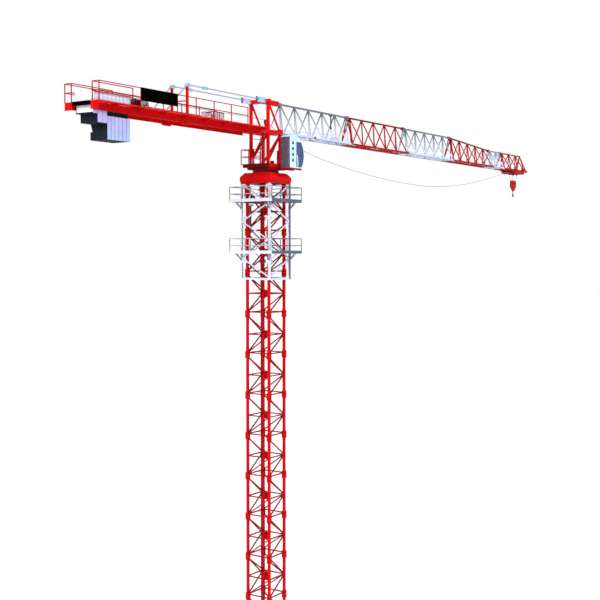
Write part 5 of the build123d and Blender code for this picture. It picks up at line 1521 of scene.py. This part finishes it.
class CRANE_OT_stage(bpy.types.Operator):
    """Add the floor, the light and the camera"""
    bl_idname = "crane.stage"
    bl_label = "Stage"

    def execute(self, context):
        settings = context.scene.crane_stage
        mesh = bmesh.new()
        bmesh.ops.create_circle(mesh, cap_ends=True, radius=400, segments=96)
        data = bpy.data.meshes.new("floor")
        mesh.to_mesh(data)
        mesh.free()
        data.materials.append(pale_floor(settings.floor))
        added("floor", data)
        context.scene.world = studio_world(settings.fill)
        for name, strength, softness, way in (("key", settings.sun, 12, (-0.42, 0.72, -0.55)),
                                              ("side", settings.side, 30, (0.8, 0.1, -0.3))):
            sun = bpy.data.lights.new(name, "SUN")
            sun.energy = strength
            sun.angle = math.radians(softness)
            added(name, sun).rotation_euler = towards(Vector(way))
        yaw, pitch = settings.yaw, settings.pitch
        look = Vector((math.sin(yaw) * math.cos(pitch), math.cos(yaw) * math.cos(pitch), math.sin(pitch)))
        lens = bpy.data.cameras.new("camera")
        lens.lens = settings.lens
        lens.sensor_width = 36
        lens.clip_end = 2000
        camera = added("camera", lens)
        camera.location = settings.place
        camera.rotation_euler = towards(look)
        context.scene.camera = camera
        context.scene.view_settings.view_transform = "Standard"
        return {"FINISHED"}


OPERATORS = (CRANE_OT_paint, CRANE_OT_mast, CRANE_OT_cage, CRANE_OT_slewing, CRANE_OT_cab,
             CRANE_OT_counter_jib, CRANE_OT_jib, CRANE_OT_trolley, CRANE_OT_ropes, CRANE_OT_stage)
SETTINGS = {"crane_paint": CranePaint, "crane_fittings": CraneFittings, "crane_stage": CraneStage}


class CRANE_PT_panel(bpy.types.Panel):
    """Buttons, colours and sizes of the crane"""
    bl_idname = "CRANE_PT_panel"
    bl_label = "Tower crane"
    bl_space_type = "VIEW_3D"
    bl_region_type = "UI"
    bl_category = "Crane"

    def draw(self, context):
        for group, held in SETTINGS.items():
            for key in held.__annotations__:
                self.layout.prop(getattr(context.scene, group), key)
        for operator in OPERATORS:
            self.layout.operator(operator.bl_idname)


CLASSES = (*SETTINGS.values(), *OPERATORS, CRANE_PT_panel)


def register():
    """Adds the settings, the operators and the panel."""
    for made in CLASSES:
        bpy.utils.register_class(made)
    for group, held in SETTINGS.items():
        setattr(bpy.types.Scene, group, bpy.props.PointerProperty(type=held))


def unregister():
    """Takes them away again."""
    for group in SETTINGS:
        delattr(bpy.types.Scene, group)
    for made in reversed(CLASSES):
        bpy.utils.unregister_class(made)


def main():
    """Paints the crane and adds its fittings and its stage."""
    register()
    bpy.ops.crane.paint()
    bpy.ops.crane.mast()
    bpy.ops.crane.cage()
    bpy.ops.crane.slewing()
    bpy.ops.crane.cab()
    bpy.ops.crane.counter_jib()
    bpy.ops.crane.jib()
    bpy.ops.crane.trolley()
    bpy.ops.crane.ropes()
    bpy.ops.crane.stage()


if __name__ == "__main__":
    main()
